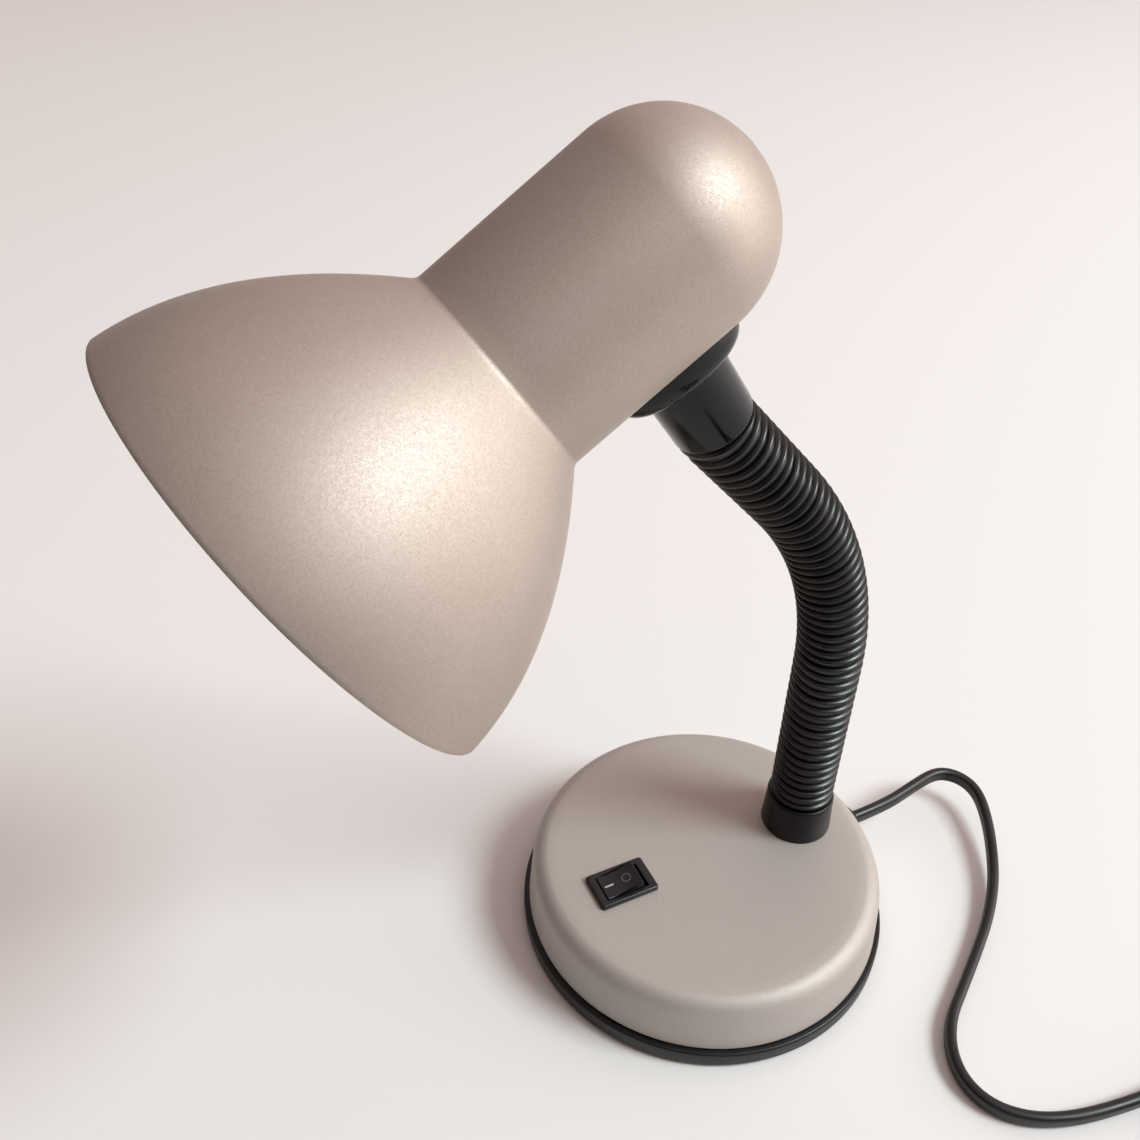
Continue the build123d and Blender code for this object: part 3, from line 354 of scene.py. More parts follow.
def softBox(halfX, halfY, corner, perCorner=9):
    # rounded rectangle: quarter arcs about the four inner corners, in turn
    quarter = np.linspace(0, np.pi / 2, perCorner)
    a = np.concatenate([quarter + k * np.pi / 2 for k in range(4)])
    x = np.repeat([1, -1, -1, 1], perCorner) * (halfX - corner)
    y = np.repeat([1, 1, -1, -1], perCorner) * (halfY - corner)
    return np.stack([x + corner * np.cos(a), y + corner * np.sin(a)], -1)


def boxRings(rows, place, perCorner):
    # rounded rectangles (half x, half y, corner, height) stacked along the place's Z
    rings = [np.column_stack([softBox(x, y, c, perCorner), np.full(4 * perCorner, h)]) for x, y, c, h in rows]
    return onPlace(np.stack(rings), place)


def stackedPiece(name, rows, place, finish, perCorner=9, sharp=38.0):
    # stacked rounded rectangles, closed by a face at each end
    return loopPiece(name, boxRings(rows, place, perCorner), finish, sharp, True)


upright = placeAt((0, 0, 0))

# neck line: straight rise, large arc forwards, run, small arc back, short run; angles in degrees
neck = {
    "footY": 40.8, "footZ": 46.0, "rise": 66.0, "bendRadius": 118.0, "bendAngle": 42.0, "upperRun": 39.05,
    "returnRadius": 20.0, "headPitch": 33.9, "topRun": 1.0, "before": 20, "after": 40, "samples": 24001}
neckBend, neckPitch = math.radians(neck["bendAngle"]), math.radians(neck["headPitch"])
neckSteps = [
    neck["rise"], neckBend * neck["bendRadius"], neck["upperRun"],
    (neckBend - neckPitch) * neck["returnRadius"], neck["topRun"]]
neckLength = sum(neckSteps)


def neckLine(s):
    # lean(s) from the run lengths; y and z are the sums of -sin(lean) ds and cos(lean) ds on a fine scale
    marks = np.cumsum([0.0] + neckSteps)
    low, high = -neck["before"], neckLength + neck["after"]
    fine = np.linspace(low, high, neck["samples"])
    lean = np.interp(fine, [low, *marks[1:5], high], [0, 0, neckBend, neckBend, neckPitch, neckPitch])
    step = fine[1] - fine[0]
    mid = (lean[1:] + lean[:-1]) / 2
    y = np.concatenate([[0], np.cumsum(-np.sin(mid) * step)])
    z = np.concatenate([[0], np.cumsum(np.cos(mid) * step)])
    y += neck["footY"] - np.interp(0, fine, y)
    z += neck["footZ"] - np.interp(0, fine, z)
    return np.interp(s, fine, y), np.interp(s, fine, z), np.interp(s, fine, lean)


def tippedAxes(lean):
    # axes turned about X by the lean: Y = (0, cos, sin), Z = (0, -sin, cos)
    return np.array([[1, 0, 0], [0, math.cos(lean), math.sin(lean)], [0, -math.sin(lean), math.cos(lean)]])


topY, topZ, topLean = (float(v) for v in neckLine(neckLength))
footPlace = placeAt((0, neck["footY"], 0))
headPlace = placeAt((0, topY, topZ), tippedAxes(topLean))

# cord and coil, one open spline from the base to the plug; millimetres, the route of the CAD solid
cordShape = {
    "width": 6.0, "thick": 4.3, "groove": 0.3, "grooveWidth": 0.28, "flatEase": 0.22, "around": 20,
    "length": 1.78, "coilStart": (136.5, 142.0), "coilOuter": 45.0, "coilTurns": 6.5, "coilStep": 6.0,
    "climb": 0.5, "layer": 7.0, "coilZ": 3.95, "perTurn": 16,
    "route": [
        (0, 71.3, 14.2), (0, 88, 14.2), (-3, 103.8, 14.4), (-5.7, 118.2, 13.8), (-2.9, 125.2, 13.2),
        (3.2, 129.5, 12.3), (10.6, 130, 11), (21.5, 125.4, 9), (33, 118.4, 6.8), (45, 109.2, 4.9),
        (56.6, 96.4, 3.7), (67, 81.2, 3.1), (76.2, 66.8, 3.05), (84, 54.6, 3.05), (94, 46.4, 3.05),
        (104.8, 43.4, 3.05), (115.2, 46.2, 3.05), (123.6, 54.6, 3.05), (129.2, 66.8, 3.05),
        (132.4, 80.8, 3.05), (134.6, 96, 3.2), (136, 111.5, 3.6), (136.5, 126.6, 3.95), (136.5, 142, 3.95)],
    "tail": [(226.5, 132, 10.95), (226.5, 122, 6.85), (226.5, 112, 6.85), (226.5, 109, 6.85)]}


def coilPoints(c):
    # spiral in on the floor, climb one layer at the middle, spiral out above: r = inner + step |turn - half|
    half = c["coilTurns"] / 2
    at = np.linspace(0, c["coilTurns"], int(c["coilTurns"] * c["perTurn"]) + 1)[1:]
    climb = np.clip((at - half + c["climb"] / 2) / c["climb"], 0, 1)
    r = c["coilOuter"] - half * c["coilStep"] + c["coilStep"] * np.abs(at - half)
    a = np.pi - 2 * np.pi * at
    x = c["coilStart"][0] + c["coilOuter"] + r * np.cos(a)
    return np.stack([x, c["coilStart"][1] + r * np.sin(a), c["coilZ"] + c["layer"] * smooth(climb)], -1)


def splineLine(name, control, resolution=6):
    # points along the smooth NURBS line that these points steer
    curve = bpy.data.curves.new(name, "CURVE")
    curve.dimensions = "3D"
    curve.resolution_u = resolution
    spline = curve.splines.new("NURBS")
    spline.points.add(len(control) - 1)
    spline.points.foreach_set("co", np.column_stack([control * mm, np.ones(len(control))]).ravel())
    spline.order_u = 3
    spline.use_endpoint_u = True
    holder = bpy.data.objects.new(name, curve)
    scene.collection.objects.link(holder)
    bpy.context.view_layer.update()
    mesh = bpy.data.meshes.new_from_object(holder)
    line = np.zeros(len(mesh.vertices) * 3)
    mesh.vertices.foreach_get("co", line)
    bpy.data.objects.remove(holder)
    bpy.data.curves.remove(curve)
    bpy.data.meshes.remove(mesh)
    return line.reshape(-1, 3) / mm


def makeCord(c):
    # flat two-core section carried along the line: side = tangent x up, lift = side x tangent
    control = np.concatenate([np.array(c["route"], float), coilPoints(c), np.array(c["tail"], float)])
    line = splineLine("cordLine", control)
    keep = np.concatenate([[True], np.linalg.norm(np.diff(line, axis=0), axis=1) > 1e-6])
    line = line[keep]
    tangent = np.gradient(line, axis=0)
    tangent /= np.linalg.norm(tangent, axis=1)[:, None]
    side = np.cross(tangent, [0, 0, 1])
    side /= np.linalg.norm(side, axis=1)[:, None]
    lift = np.cross(side, tangent)
    a = roundAngles(c["around"])
    flat = (c["width"] - c["thick"]) / 2
    dip = c["groove"] / c["thick"] * 2 * np.exp(-(np.sin(a) / c["grooveWidth"]) ** 2)
    across = c["thick"] / 2 * np.cos(a) * (1 - dip)
    along = c["thick"] / 2 * np.sin(a) + flat * np.tanh(np.sin(a) / c["flatEase"])
    points = line[:, None] + across[None, :, None] * side[:, None] + along[None, :, None] * lift[:, None]
    cord = loopPiece("cord", points, cordPvc, capped=True)
    settle(cord, "base", ("cord_lead", "cord_coil", "cord_tail"))
    run = np.linalg.norm(np.diff(line, axis=0), axis=1).sum()
    print("cord line", round(run), "mm")
    return cord, line


cord, cordLine = makeCord(cordShape)

# plug: (half width, half thickness) of the sleeve at the cord and of the body, runs of stations along it
plugShape = {
    "x": 226.5, "back": 112.0, "z": 6.85, "length": 37.0, "sleeve": (4.2, 3.9), "sleeveEnd": 9, "flare": 0.25,
    "half": (17.0, 6.8), "shoulder": (6, 16), "frontEase": 3, "frontIn": (2.2, 1.6), "grip": (17, 31),
    "gripDeep": 0.45, "grips": 5, "runs": [(0, 9, 10), (9.6, 16, 12), (16.5, 33, 40), (33.4, 37.0, 9)],
    "pinSpacing": 18.6, "pinRadius": 2.0, "pinLength": 19.0, "pinTip": 1.4, "pinCount": 40}


def makePlug(p):
    # half sizes eased along the length: narrow sleeve at the cord, shoulders, then a square-set front
    s = np.concatenate([np.linspace(*run) for run in p["runs"]])
    first, last = p["shoulder"]
    ease = smooth(np.clip((s - first) / (last - first), 0, 1))
    close = np.clip((s - p["length"] + p["frontEase"]) / p["frontEase"], 0, 1)
    front = np.sqrt(np.clip(1 - close ** 2, 0, 1))
    flare = p["flare"] * s / p["sleeveEnd"] * (s < p["sleeveEnd"])
    wide = p["sleeve"][0] + flare + (p["half"][0] - p["sleeve"][0]) * ease - p["frontIn"][0] * (1 - front)
    thick = p["sleeve"][1] + (p["half"][1] - p["sleeve"][1]) * ease - p["frontIn"][1] * (1 - front)
    first, last = p["grip"]
    fade = np.clip((s - first) * (last - s) / ((last - first) / 2) ** 2, 0, 1)
    wave = np.cos(2 * np.pi * (s - first) / (last - first) * p["grips"])
    thick -= p["gripDeep"] * fade * (0.5 - 0.5 * wave)
    corner = np.minimum(wide, thick) * np.where(s < p["sleeveEnd"] + 1, 0.98, 0.75)
    axes = ((1, 0, 0), (0, 0, 1), (0, -1, 0))
    rows = list(zip(wide, thick, corner, s))
    body = stackedPiece("plugBody", rows, placeAt((p["x"], p["back"], p["z"]), axes), cordPvc, 10)
    settle(body, "base", ("plug_body",))
    r, tip = p["pinRadius"], p["pinLength"]
    outline = roundCorners([(0, 0), (r, 0), (r, tip), (0, tip)], [0, 0, p["pinTip"], 0])
    count = p["pinCount"]
    pins, faces = [], []
    for k, side in enumerate((-1, 1)):
        place = placeAt((p["x"] + side * p["pinSpacing"] / 2, p["back"] - p["length"], p["z"]), axes)
        pins.append(turn(outline, place, roundAngles(count)))
        faces += gridFaces(len(outline), count, True, True, k * len(outline) * count)
    pin = makePiece("plugPins", np.concatenate(pins), faces, brass)
    settle(pin, "base", ("plug_pins",))
    return body, pin


plugBody, plugPins = makePlug(plugShape)

tieShape = {
    "x": 181.5, "y": (98.4, 116.6), "z": (0.05, 14.95), "thick": 0.7, "width": 5.0, "corner": 3.0,
    "edge": 0.2, "perCorner": 9}


def makeTie(t):
    # flat band: rounded box loops, outer and inner, at both edges of its width
    midY, midZ = sum(t["y"]) / 2, sum(t["z"]) / 2
    halfY, halfZ = (t["y"][1] - t["y"][0]) / 2, (t["z"][1] - t["z"][0]) / 2
    edge, deep = t["width"] / 2, t["thick"]
    outline = roundCorners([(0, -edge), (0, edge), (deep, edge), (deep, -edge)], [t["edge"]] * 4, 4)
    rows = [(halfY - d, halfZ - d, t["corner"] - d, w) for d, w in outline]
    place = placeAt((t["x"], midY, midZ), ((0, 1, 0), (0, 0, 1), (1, 0, 0)))
    tie = loopPiece("coilTie", boxRings(rows, place, t["perCorner"]), cordPvc)
    return settle(tie, "base", ("coil_tie",))


coilTie = makeTie(tieShape)

# bushing: flange outline as (radius, distance out of the wall), slot as a rounded rectangle
bushingShape = {
    "height": 14.2, "tip": 71.3, "wall": 67.75, "inner": 61.3, "innerRadius": 4.0, "tipRadius": 4.05,
    "flange": [
        (5.1, -1.0), (5.1, 0.9), (6.0, 1.0), (6.0, 1.7), (5.75, 2.1), (4.85, 2.3), (4.5, 2.5), (4.3, 3.2)],
    "slot": (1.86, 3.06, 1.85), "perCorner": 10}


def makeBushing(b):
    # snap-in bushing: body through the wall, thin round flange outside, slot for the flat cord inside
    low, high = b["inner"] - b["wall"], b["tip"] - b["wall"]
    outer = [(b["innerRadius"], low)] + b["flange"] + [(b["tipRadius"], high)]
    rows = [(r, r, r * 0.999, h) for r, h in outer] + [(*b["slot"], h) for h in (high, low)]
    place = placeAt((0, b["wall"], b["height"]), ((1, 0, 0), (0, 0, 1), (0, 1, 0)))
    piece = loopPiece("cordBushing", boxRings(rows, place, b["perCorner"]), cordPvc)
    return settle(piece, "base", ("cord_bushing",))


makeBushing(bushingShape)
print("cord, plug, tie and bushing made")

# base: cover with its top panel cut for switch and stud, plate below
coverShape = {
    "height": 30.0, "radius": 67.2, "draft": 1.6, "wall": 2.0, "edge": 6.5, "seat": 8.3, "flat": 56.0,
    "ease": 0.1, "count": 240, "switchY": -36.0, "switchCut": (6.45, 9.6, 0.6, 5), "studY": 40.8,
    "studCut": 5.15, "studCount": 40}


def panel(rim, loops, inside=()):
    # flat panel with holes: triangles between the rim ring, the hole loops and any inner points
    points = [rim] + list(loops) + ([np.asarray(inside)] if len(inside) else [])
    flat = np.concatenate(points)
    edges, start = [], 0
    for ring in [rim] + list(loops):
        n = len(ring)
        edges += [(start + k, start + (k + 1) % n) for k in range(n)]
        start += n
    found = delaunay_2d_cdt([Vector(p) for p in flat], edges, [], 0, 1e-7)
    spots = np.array([list(p) for p in found[0]])
    corners = np.array(found[2])
    middle = spots[corners].mean(1)
    keep = np.ones(len(corners), bool)
    for ring in loops:
        d = np.roll(ring, -1, 0) - ring
        off = middle[:, None] - ring[None]
        turned = d[:, 0] * off[..., 1] - d[:, 1] * off[..., 0]
        keep &= ~((turned > 0).all(1) | (turned < 0).all(1))
    return spots, corners[keep]


def panelFaces(corners, loops, rim, first, second):
    # upper and lower panel triangles, and the walls of the holes between the two
    faces = (corners + first).tolist() + (corners[:, ::-1] + second).tolist()
    start = rim
    for loop in loops:
        faces += ringFaces(first + start, second + start, len(loop))
        start += len(loop)
    return faces


def makeCover(c):
    # outline: outer fillet, drafted wall, seat, inner wall, inner fillet; the top panel closes it
    top = c["radius"] - c["draft"]
    t = np.linspace(0, np.pi / 2, 14)[1:]
    share = t / t[-1]
    lean = c["draft"] / (c["height"] - c["seat"])
    arcR, arcZ, innerEdge = top - c["edge"], c["height"] - c["edge"], c["edge"] - c["wall"]
    outer = np.stack([arcR + c["edge"] * np.sin(t) - c["ease"] * share, arcZ + c["edge"] * np.cos(t)], -1)
    outer[:, 0] += lean * (c["height"] - outer[:, 1]) * share
    inner = np.stack([arcR + innerEdge * np.sin(t[::-1]), arcZ + innerEdge * np.cos(t[::-1])], -1)
    foot = [(c["radius"] - c["ease"], c["seat"]), (c["radius"] - c["wall"], c["seat"])]
    below = c["height"] - c["wall"]
    outline = np.concatenate([[(c["flat"], c["height"])], outer, foot, inner, [(c["flat"], below)]])
    angles = roundAngles(c["count"])
    shell = turn(outline, upright, angles)
    loops = [
        softBox(*c["switchCut"]) + [0, c["switchY"]],
        circle(c["studCut"], roundAngles(c["studCount"]), (0, c["studY"]))]
    flat, corners = panel(circle(c["flat"], angles), loops)
    upper = np.column_stack([flat, np.full(len(flat), c["height"])])
    lower = np.column_stack([flat, np.full(len(flat), below)])
    first = len(outline) * c["count"]
    faces = gridFaces(len(outline), c["count"], False, True)
    faces += panelFaces(corners, loops, c["count"], first, first + len(flat))
    cover = makePiece("baseCover", np.concatenate([shell.reshape(-1, 3), upper, lower]), faces, baseEnamel)
    return settle(cover, "base", ("base_cover",))


makeCover(coverShape)

plateShape = {
    "radius": 69.2, "bottom": 0.6, "rim": 7.4, "seat": 8.0, "neckIn": 65.6, "lip": 64.6, "lipTop": 11.0,
    "lipWall": 1.5, "floor": 4.0, "recess": 1.6, "padRadius": 60.3, "count": 240,
    "easing": [0, 0.2, 0.4, 1.4, 1.1, 0.2, 0.1, 0.1, 0.4, 0.4, 0.5, 0]}


def makePlate(p):
    # rim with eased edges, a shadow groove under the cover, a lip inside it and a shallow recess for the pad
    lipIn = p["lip"] - p["lipWall"]
    outline = [
        (0, p["recess"]), (p["padRadius"], p["recess"]), (p["padRadius"], p["bottom"]),
        (p["radius"], p["bottom"]), (p["radius"], p["rim"]), (p["neckIn"], p["rim"]),
        (p["neckIn"], p["seat"]), (p["lip"], p["seat"]), (p["lip"], p["lipTop"]),
        (lipIn, p["lipTop"]), (lipIn, p["floor"]), (0, p["floor"])]
    plate = turnedPiece("basePlate", roundCorners(outline, p["easing"]), upright, rimPlastic, p["count"])
    return settle(plate, "base", ("base_plate",))


makePlate(plateShape)
print("base made")

# rocker switch: bezel with its well, tipping rocker, marks
switchShape = {
    "y": -36.0, "base": 30.0, "top": 32.0, "half": (7.6, 11.6), "corner": 1.2, "least": 0.35,
    "frame": (2.3, 3.3), "body": (1.25, 2.25), "deep": 17.5, "wellFloor": 19.6, "wellCorner": 0.4,
    "pivot": 28.0, "tilt": 11.0, "rockerLength": 16.0, "rockerWidth": 10.4, "rise": 5.7, "tip": 1.0,
    "valley": 0.9, "dish": 0.18, "sharp": 30.0}


def makeBezel(s):
    # rings inset from the outer outline: body below the cover, flange, eased top, well down to its floor
    x, y = s["half"]
    top = s["top"]
    ease = [(0.05, s["base"]), (0, s["base"] + 0.15)]
    ease += [(0, top - 0.75), (0.08, top - 0.4), (0.25, top - 0.15), (0.55, top)]
    well = [(-0.5, top - 0.1), (-0.2, top - 0.2), (0, top - 0.5), (0, s["wellFloor"])]
    rows = [(x - s["body"][0], y - s["body"][1], s["least"], h) for h in (s["deep"], s["base"])]
    rows += [(x - d, y - d, max(s["corner"] - d, s["least"]), h) for d, h in ease]
    rows += [(x - s["frame"][0] - d, y - s["frame"][1] - d, s["wellCorner"], h) for d, h in well]
    bezel = stackedPiece("switchBezel", rows, placeAt((0, s["y"], 0)), switchPlastic, 8, s["sharp"])
    return settle(bezel, "base", ("switch_housing",))


def rockerTop(s, y):
    # two gently dished faces that meet in a shallow valley over the pivot
    away = np.abs(y) / (s["rockerLength"] / 2 - s["tip"])
    return s["rise"] - s["valley"] + s["valley"] * away - s["dish"] * np.sin(np.pi * np.clip(away, 0, 1))


def makeRocker(s):
    # side outline about the pivot, full in the middle and drawn in at both cheeks, then tipped
    half, wide = s["rockerLength"] / 2, s["rockerWidth"] / 2
    y = np.linspace(-half + s["tip"], half - s["tip"], 41)
    top = np.stack([y, rockerTop(s, y)], -1)
    right = [(half, 0.5), (half - 1.4, -1.2), (3.2, -2.6)]
    under = roundCorners(right + [(-a, b) for a, b in right[::-1]], [0.4] * 6, 4)
    tipEase = np.array([(half - 0.75, s["rise"] - 0.18), (half - 0.62, s["rise"] - 0.6)])
    outline = np.concatenate([top, tipEase, under, tipEase[::-1] * [-1, 1]])
    ahead = np.roll(outline, -1, 0) - np.roll(outline, 1, 0)
    normal = np.stack([ahead[:, 1], -ahead[:, 0]], -1)
    normal /= np.linalg.norm(normal, axis=1)[:, None]
    cheek = [(-wide, 0.4), (-wide + 0.1, 0.15), (-wide + 0.35, 0.0)]
    cheeks = cheek + [(-x, d) for x, d in cheek[::-1]]
    loops = [np.column_stack([np.full(len(outline), x), outline + normal * d]) for x, d in cheeks]
    place = placeAt((0, s["y"], s["pivot"]), tippedAxes(math.radians(s["tilt"])))
    rocker = loopPiece("switchRocker", onPlace(np.stack(loops), place), switchPlastic, s["sharp"], True)
    settle(rocker, "rocker", ("switch_rocker",))
    return place


rockerPlace = makeRocker(switchShape)
makeBezel(switchShape)

markShape = {
    "barY": -4.3, "barLength": 3.5, "barWidth": 0.7, "barCorner": 0.15, "ringY": 2.7, "ringOuter": 1.8,
    "ringInner": 1.35, "ringCount": 48, "proud": 0.06, "deep": 0.2}


def makeMarks(m, s):
    # printed bar and ring, each a thin slab laid on the rocker's dished faces
    def lay(loop, up):
        return onPlace(np.column_stack([loop, rockerTop(s, loop[:, 1]) + up]), rockerPlace)

    low, high = -m["deep"], m["proud"]
    bar = softBox(m["barWidth"] / 2, m["barLength"] / 2, m["barCorner"], 6) + [0, m["barY"]]
    barPiece = loopPiece("onMark", np.stack([lay(bar, low), lay(bar, high)]), markInk, capped=True)
    settle(barPiece, "rocker", ())
    a, centre = roundAngles(m["ringCount"]), (0, m["ringY"])
    outer, inner = circle(m["ringOuter"], a, centre), circle(m["ringInner"], a, centre)
    ring = np.stack([lay(outer, low), lay(outer, high), lay(inner, high), lay(inner, low)])
    settle(loopPiece("offMark", ring, offMarkDarkTone), "rocker", ())


makeMarks(markShape, switchShape)
print("switch made")

# neck: cuff, thirteen pieces of ribbed sleeve that turn on balls about the joints, wound core inside
cuffShape = {
    "bottom": 30.0, "top": 46.0, "radius": 13.3, "taper": 0.75, "bore": 10.7, "floor": 33.0, "stud": 5.05,
    "easing": [0, 0.35, 1.1, 0.35, 0.2, 0]}
sleeveShape = {
    "ribs": 50, "endRibs": 3, "linkRibs": 4, "crest": 11.85, "root": 10.5, "power": 0.7, "bore": 9.3,
    "perRib": 20, "count": 72, "cut": 1.0, "ball": 10.36, "socket": 10.43, "reach": 3.0, "depth": 4.71,
    "ballRings": 8, "boreRings": 9, "end": 0.1, "endRadius": 10.6, "inCuff": 12.9, "inCollar": 12.0,
    "nearest": 0.02, "sharp": 60.0}
neckBodies = ["base"] + [f"link_{k:02d}" for k in range(1, 12)] + ["head"]
sleeveNodes = ["sleeve_foot"] + [f"sleeve_link_{k:02d}" for k in range(1, 12)] + ["sleeve_top"]


def makeCuff(c):
    # slightly tapered cup with a bore for the sleeve and a hole for the stud, turned about the neck's foot
    outline = [
        (c["stud"], c["bottom"]), (c["radius"], c["bottom"]), (c["radius"] - c["taper"], c["top"]),
        (c["bore"], c["top"]), (c["bore"], c["floor"]), (c["stud"], c["floor"])]
    cuff = turnedPiece("sleeveCuff", roundCorners(outline, c["easing"]), footPlace, cuffPvc)
    return settle(cuff, "base", ("sleeve_cuff",))


makeCuff(cuffShape)


def ribRadius(r, s):
    # ridges between valleys two cuts wide: root + depth cos(pi u / 2 half) ^ power at u from the middle
    pitch = neckLength / r["ribs"]
    half = pitch / 2 - r["cut"]
    u = (np.mod(s / pitch, 1) - 0.5) * pitch
    ridge = np.cos(np.pi / 2 * np.clip(u / half, -1, 1))
    return r["root"] + (r["crest"] - r["root"]) * np.maximum(ridge, 0) ** r["power"]


def neckRings(s, radius, count):
    # circle of that radius square to the neck line at each station s
    y, z, lean = (v[:, None] for v in neckLine(s))
    wide = np.broadcast_to(radius, s.shape)[:, None]
    a = roundAngles(count)
    side = wide * np.sin(a)
    return np.stack([wide * np.cos(a), y + side * np.cos(lean), z + side * np.sin(lean)], -1)


def ballRings(s, radius, steps, count):
    # rings of a ball about the joint at station s: sqrt(radius^2 - step^2), each step along the tangent there
    y, z, lean = (float(v) for v in neckLine(s))
    outline = np.stack([np.sqrt(radius ** 2 - steps ** 2), steps], -1)
    return turn(outline, placeAt((0, y, z), tippedAxes(lean)), roundAngles(count))


def neckJoints():
    # stations of the joints, a few ribs up the neck and then every so many ribs
    r = sleeveShape
    return (r["endRibs"] + r["linkRibs"] * np.arange(len(neckBodies) - 1)) * neckLength / r["ribs"]


def neckSpans(low, high, cut):
    # first and last station of the piece on each body, the given cut short of the joints
    joints = neckJoints()
    return np.concatenate([[low], joints + cut]), np.concatenate([joints - cut, [high]])


def makeSleeve(r):
    # one ribbed piece per body, each with a ball about its upper joint, in the socket of the next piece
    count = r["count"]
    joints = neckJoints()
    starts, stops = neckSpans(r["end"], neckLength - r["end"], r["cut"])
    stations = np.arange(r["ribs"] * r["perRib"]) * neckLength / r["ribs"] / r["perRib"]
    ball = np.linspace(-r["cut"], r["reach"], r["ballRings"])
    socket = np.linspace(r["depth"], r["cut"], r["ballRings"])
    for k, body in enumerate(neckBodies):
        low, high = starts[k], stops[k]
        inside = stations[(stations > low + r["nearest"]) & (stations < high - r["nearest"])]
        s = np.concatenate([[low], inside, [high]])
        rings = [neckRings(s, ribRadius(r, s), count)]
        if k < len(joints):
            top = joints[k] + r["reach"]
            rings.append(ballRings(joints[k], r["ball"], ball, count))
        else:
            top = neckLength + r["inCollar"]
            rings.append(neckRings(np.array([high, top]), r["endRadius"], count))
        bottom = joints[k - 1] + r["depth"] if k > 0 else -r["inCuff"]
        rings.append(neckRings(np.linspace(top, bottom, r["boreRings"]), r["bore"], count))
        if k > 0:
            rings.append(ballRings(joints[k - 1], r["socket"], socket, count))
        else:
            rings.append(neckRings(np.array([bottom, low]), r["endRadius"], count))
        piece = loopPiece(f"sleeve_{k + 1:02d}", np.concatenate(rings), sleevePvc, r["sharp"])
        settle(piece, body, (sleeveNodes[k],))


makeSleeve(sleeveShape)

coreShape = {
    "low": -9.0, "radius": 8.5, "bore": 3.2, "turnPitch": 2.9, "groove": 0.5, "steep": 2.2, "perTurn": 8,
    "count": 40, "endAbove": 8.0, "cut": 0.8, "boreRings": 5, "sharp": 60.0}


def makeCore(c):
    # wound steel strip: the radius dips between turns, and each turn leans as a helix does
    starts, stops = neckSpans(c["low"], neckLength + c["endAbove"], c["cut"])
    a = roundAngles(c["count"])
    for k, body in enumerate(neckBodies):
        low, high = starts[k], stops[k]
        s = np.linspace(low, high, int((high - low) / c["turnPitch"] * c["perTurn"]))
        wave = np.abs(np.sin(np.pi * (s[:, None] / c["turnPitch"] - a / (2 * np.pi))))
        radius = c["radius"] - c["groove"] * (1 - np.clip(wave * c["steep"], 0, 1)) ** 2
        centre = neckRings(s, 0.0, c["count"])
        outer = centre + (neckRings(s, 1.0, c["count"]) - centre) * radius[..., None]
        bore = neckRings(np.linspace(high, low, c["boreRings"]), c["bore"], c["count"])
        piece = loopPiece(f"core_{k + 1:02d}", np.concatenate([outer, bore]), zincSteel, c["sharp"])
        settle(piece, body, ("gooseneck_core", "neck_lead") if k == 0 else ())


makeCore(coreShape)
print("neck made")

# head: collar, saddle pad hugging the shade, shade with vents, lampholder and bulb
headShape = {"standoff": 28.9, "station": 36.8, "shade": 28.5, "pad": 7.5}
axisHeight = headShape["standoff"] + headShape["shade"]
shadePlace = placeAt(
    onPlace(np.array([0, -headShape["station"], axisHeight]), headPlace),
    (headPlace["axes"][0], -headPlace["axes"][2], headPlace["axes"][1]))
collarShape = {
    "radius": 12.1, "taper": 0.25, "length": 21.4, "over": 4, "edge": 1.0, "lip": 0.3, "bore": 10.7,
    "boreDeep": 12.1, "stud": 5.05, "count": 150, "seamAngle": -0.42, "seam": 0.09, "seamWidth": 0.012}


def makeCollar(c, h):
    # turned outline whose top lies on the pad's round underside, z = axis - sqrt((R + t)^2 - x^2), with a
    # fine mould seam exp(-(angle / width)^2) high at one angle and at the opposite one
    high = c["length"] + c["over"]
    outline = roundCorners([
        (c["bore"], c["boreDeep"]), (c["bore"], 0), (c["radius"], 0), (c["radius"] + c["taper"], high),
        (c["stud"], high), (c["stud"], c["boreDeep"])], [0, c["lip"], c["edge"], 0, 0, 0])
    seam = c["seamAngle"] + np.linspace(-3, 3, 13) * c["seamWidth"]
    angles = np.sort(np.concatenate([roundAngles(c["count"]), seam, seam + np.pi]) % (2 * np.pi))
    local = turn(outline, upright, angles)
    offSeam = np.abs((angles - c["seamAngle"] + np.pi / 2) % np.pi - np.pi / 2)
    ridge = np.exp(-(offSeam / c["seamWidth"]) ** 2)
    isOuter = (outline[:, 0] > c["radius"] - 0.4) & (outline[:, 1] > c["edge"])
    local[..., :2] *= (1 + isOuter[:, None] * ridge * c["seam"] / c["radius"])[..., None]
    isTop = outline[:, 1] > c["length"] + 1
    seat = axisHeight - np.sqrt((h["shade"] + h["pad"]) ** 2 - local[..., 0] ** 2)
    local[..., 2] = np.where(isTop[:, None], seat, local[..., 2])
    collar = loopPiece("collar", onPlace(local, headPlace), glossAbs)
    return settle(collar, "head", ("collar",))


makeCollar(collarShape, headShape)

saddleShape = {
    "radius": 20.0, "sideRadius": 14.8, "hole": 5.05, "clear": 0.25, "lowEdge": 5.0, "topEdge": 0.4,
    "steps": 9, "longRun": 3, "perRun": 10, "count": 200}


def denser(outline, longRun, perRun):
    # closed outline whose long runs get points in between
    ahead = np.roll(outline, -1, 0)
    return np.concatenate([
        np.linspace(p, q, perRun)[:-1] if np.linalg.norm(p - q) > longRun else p[None]
        for p, q in zip(outline, ahead)])


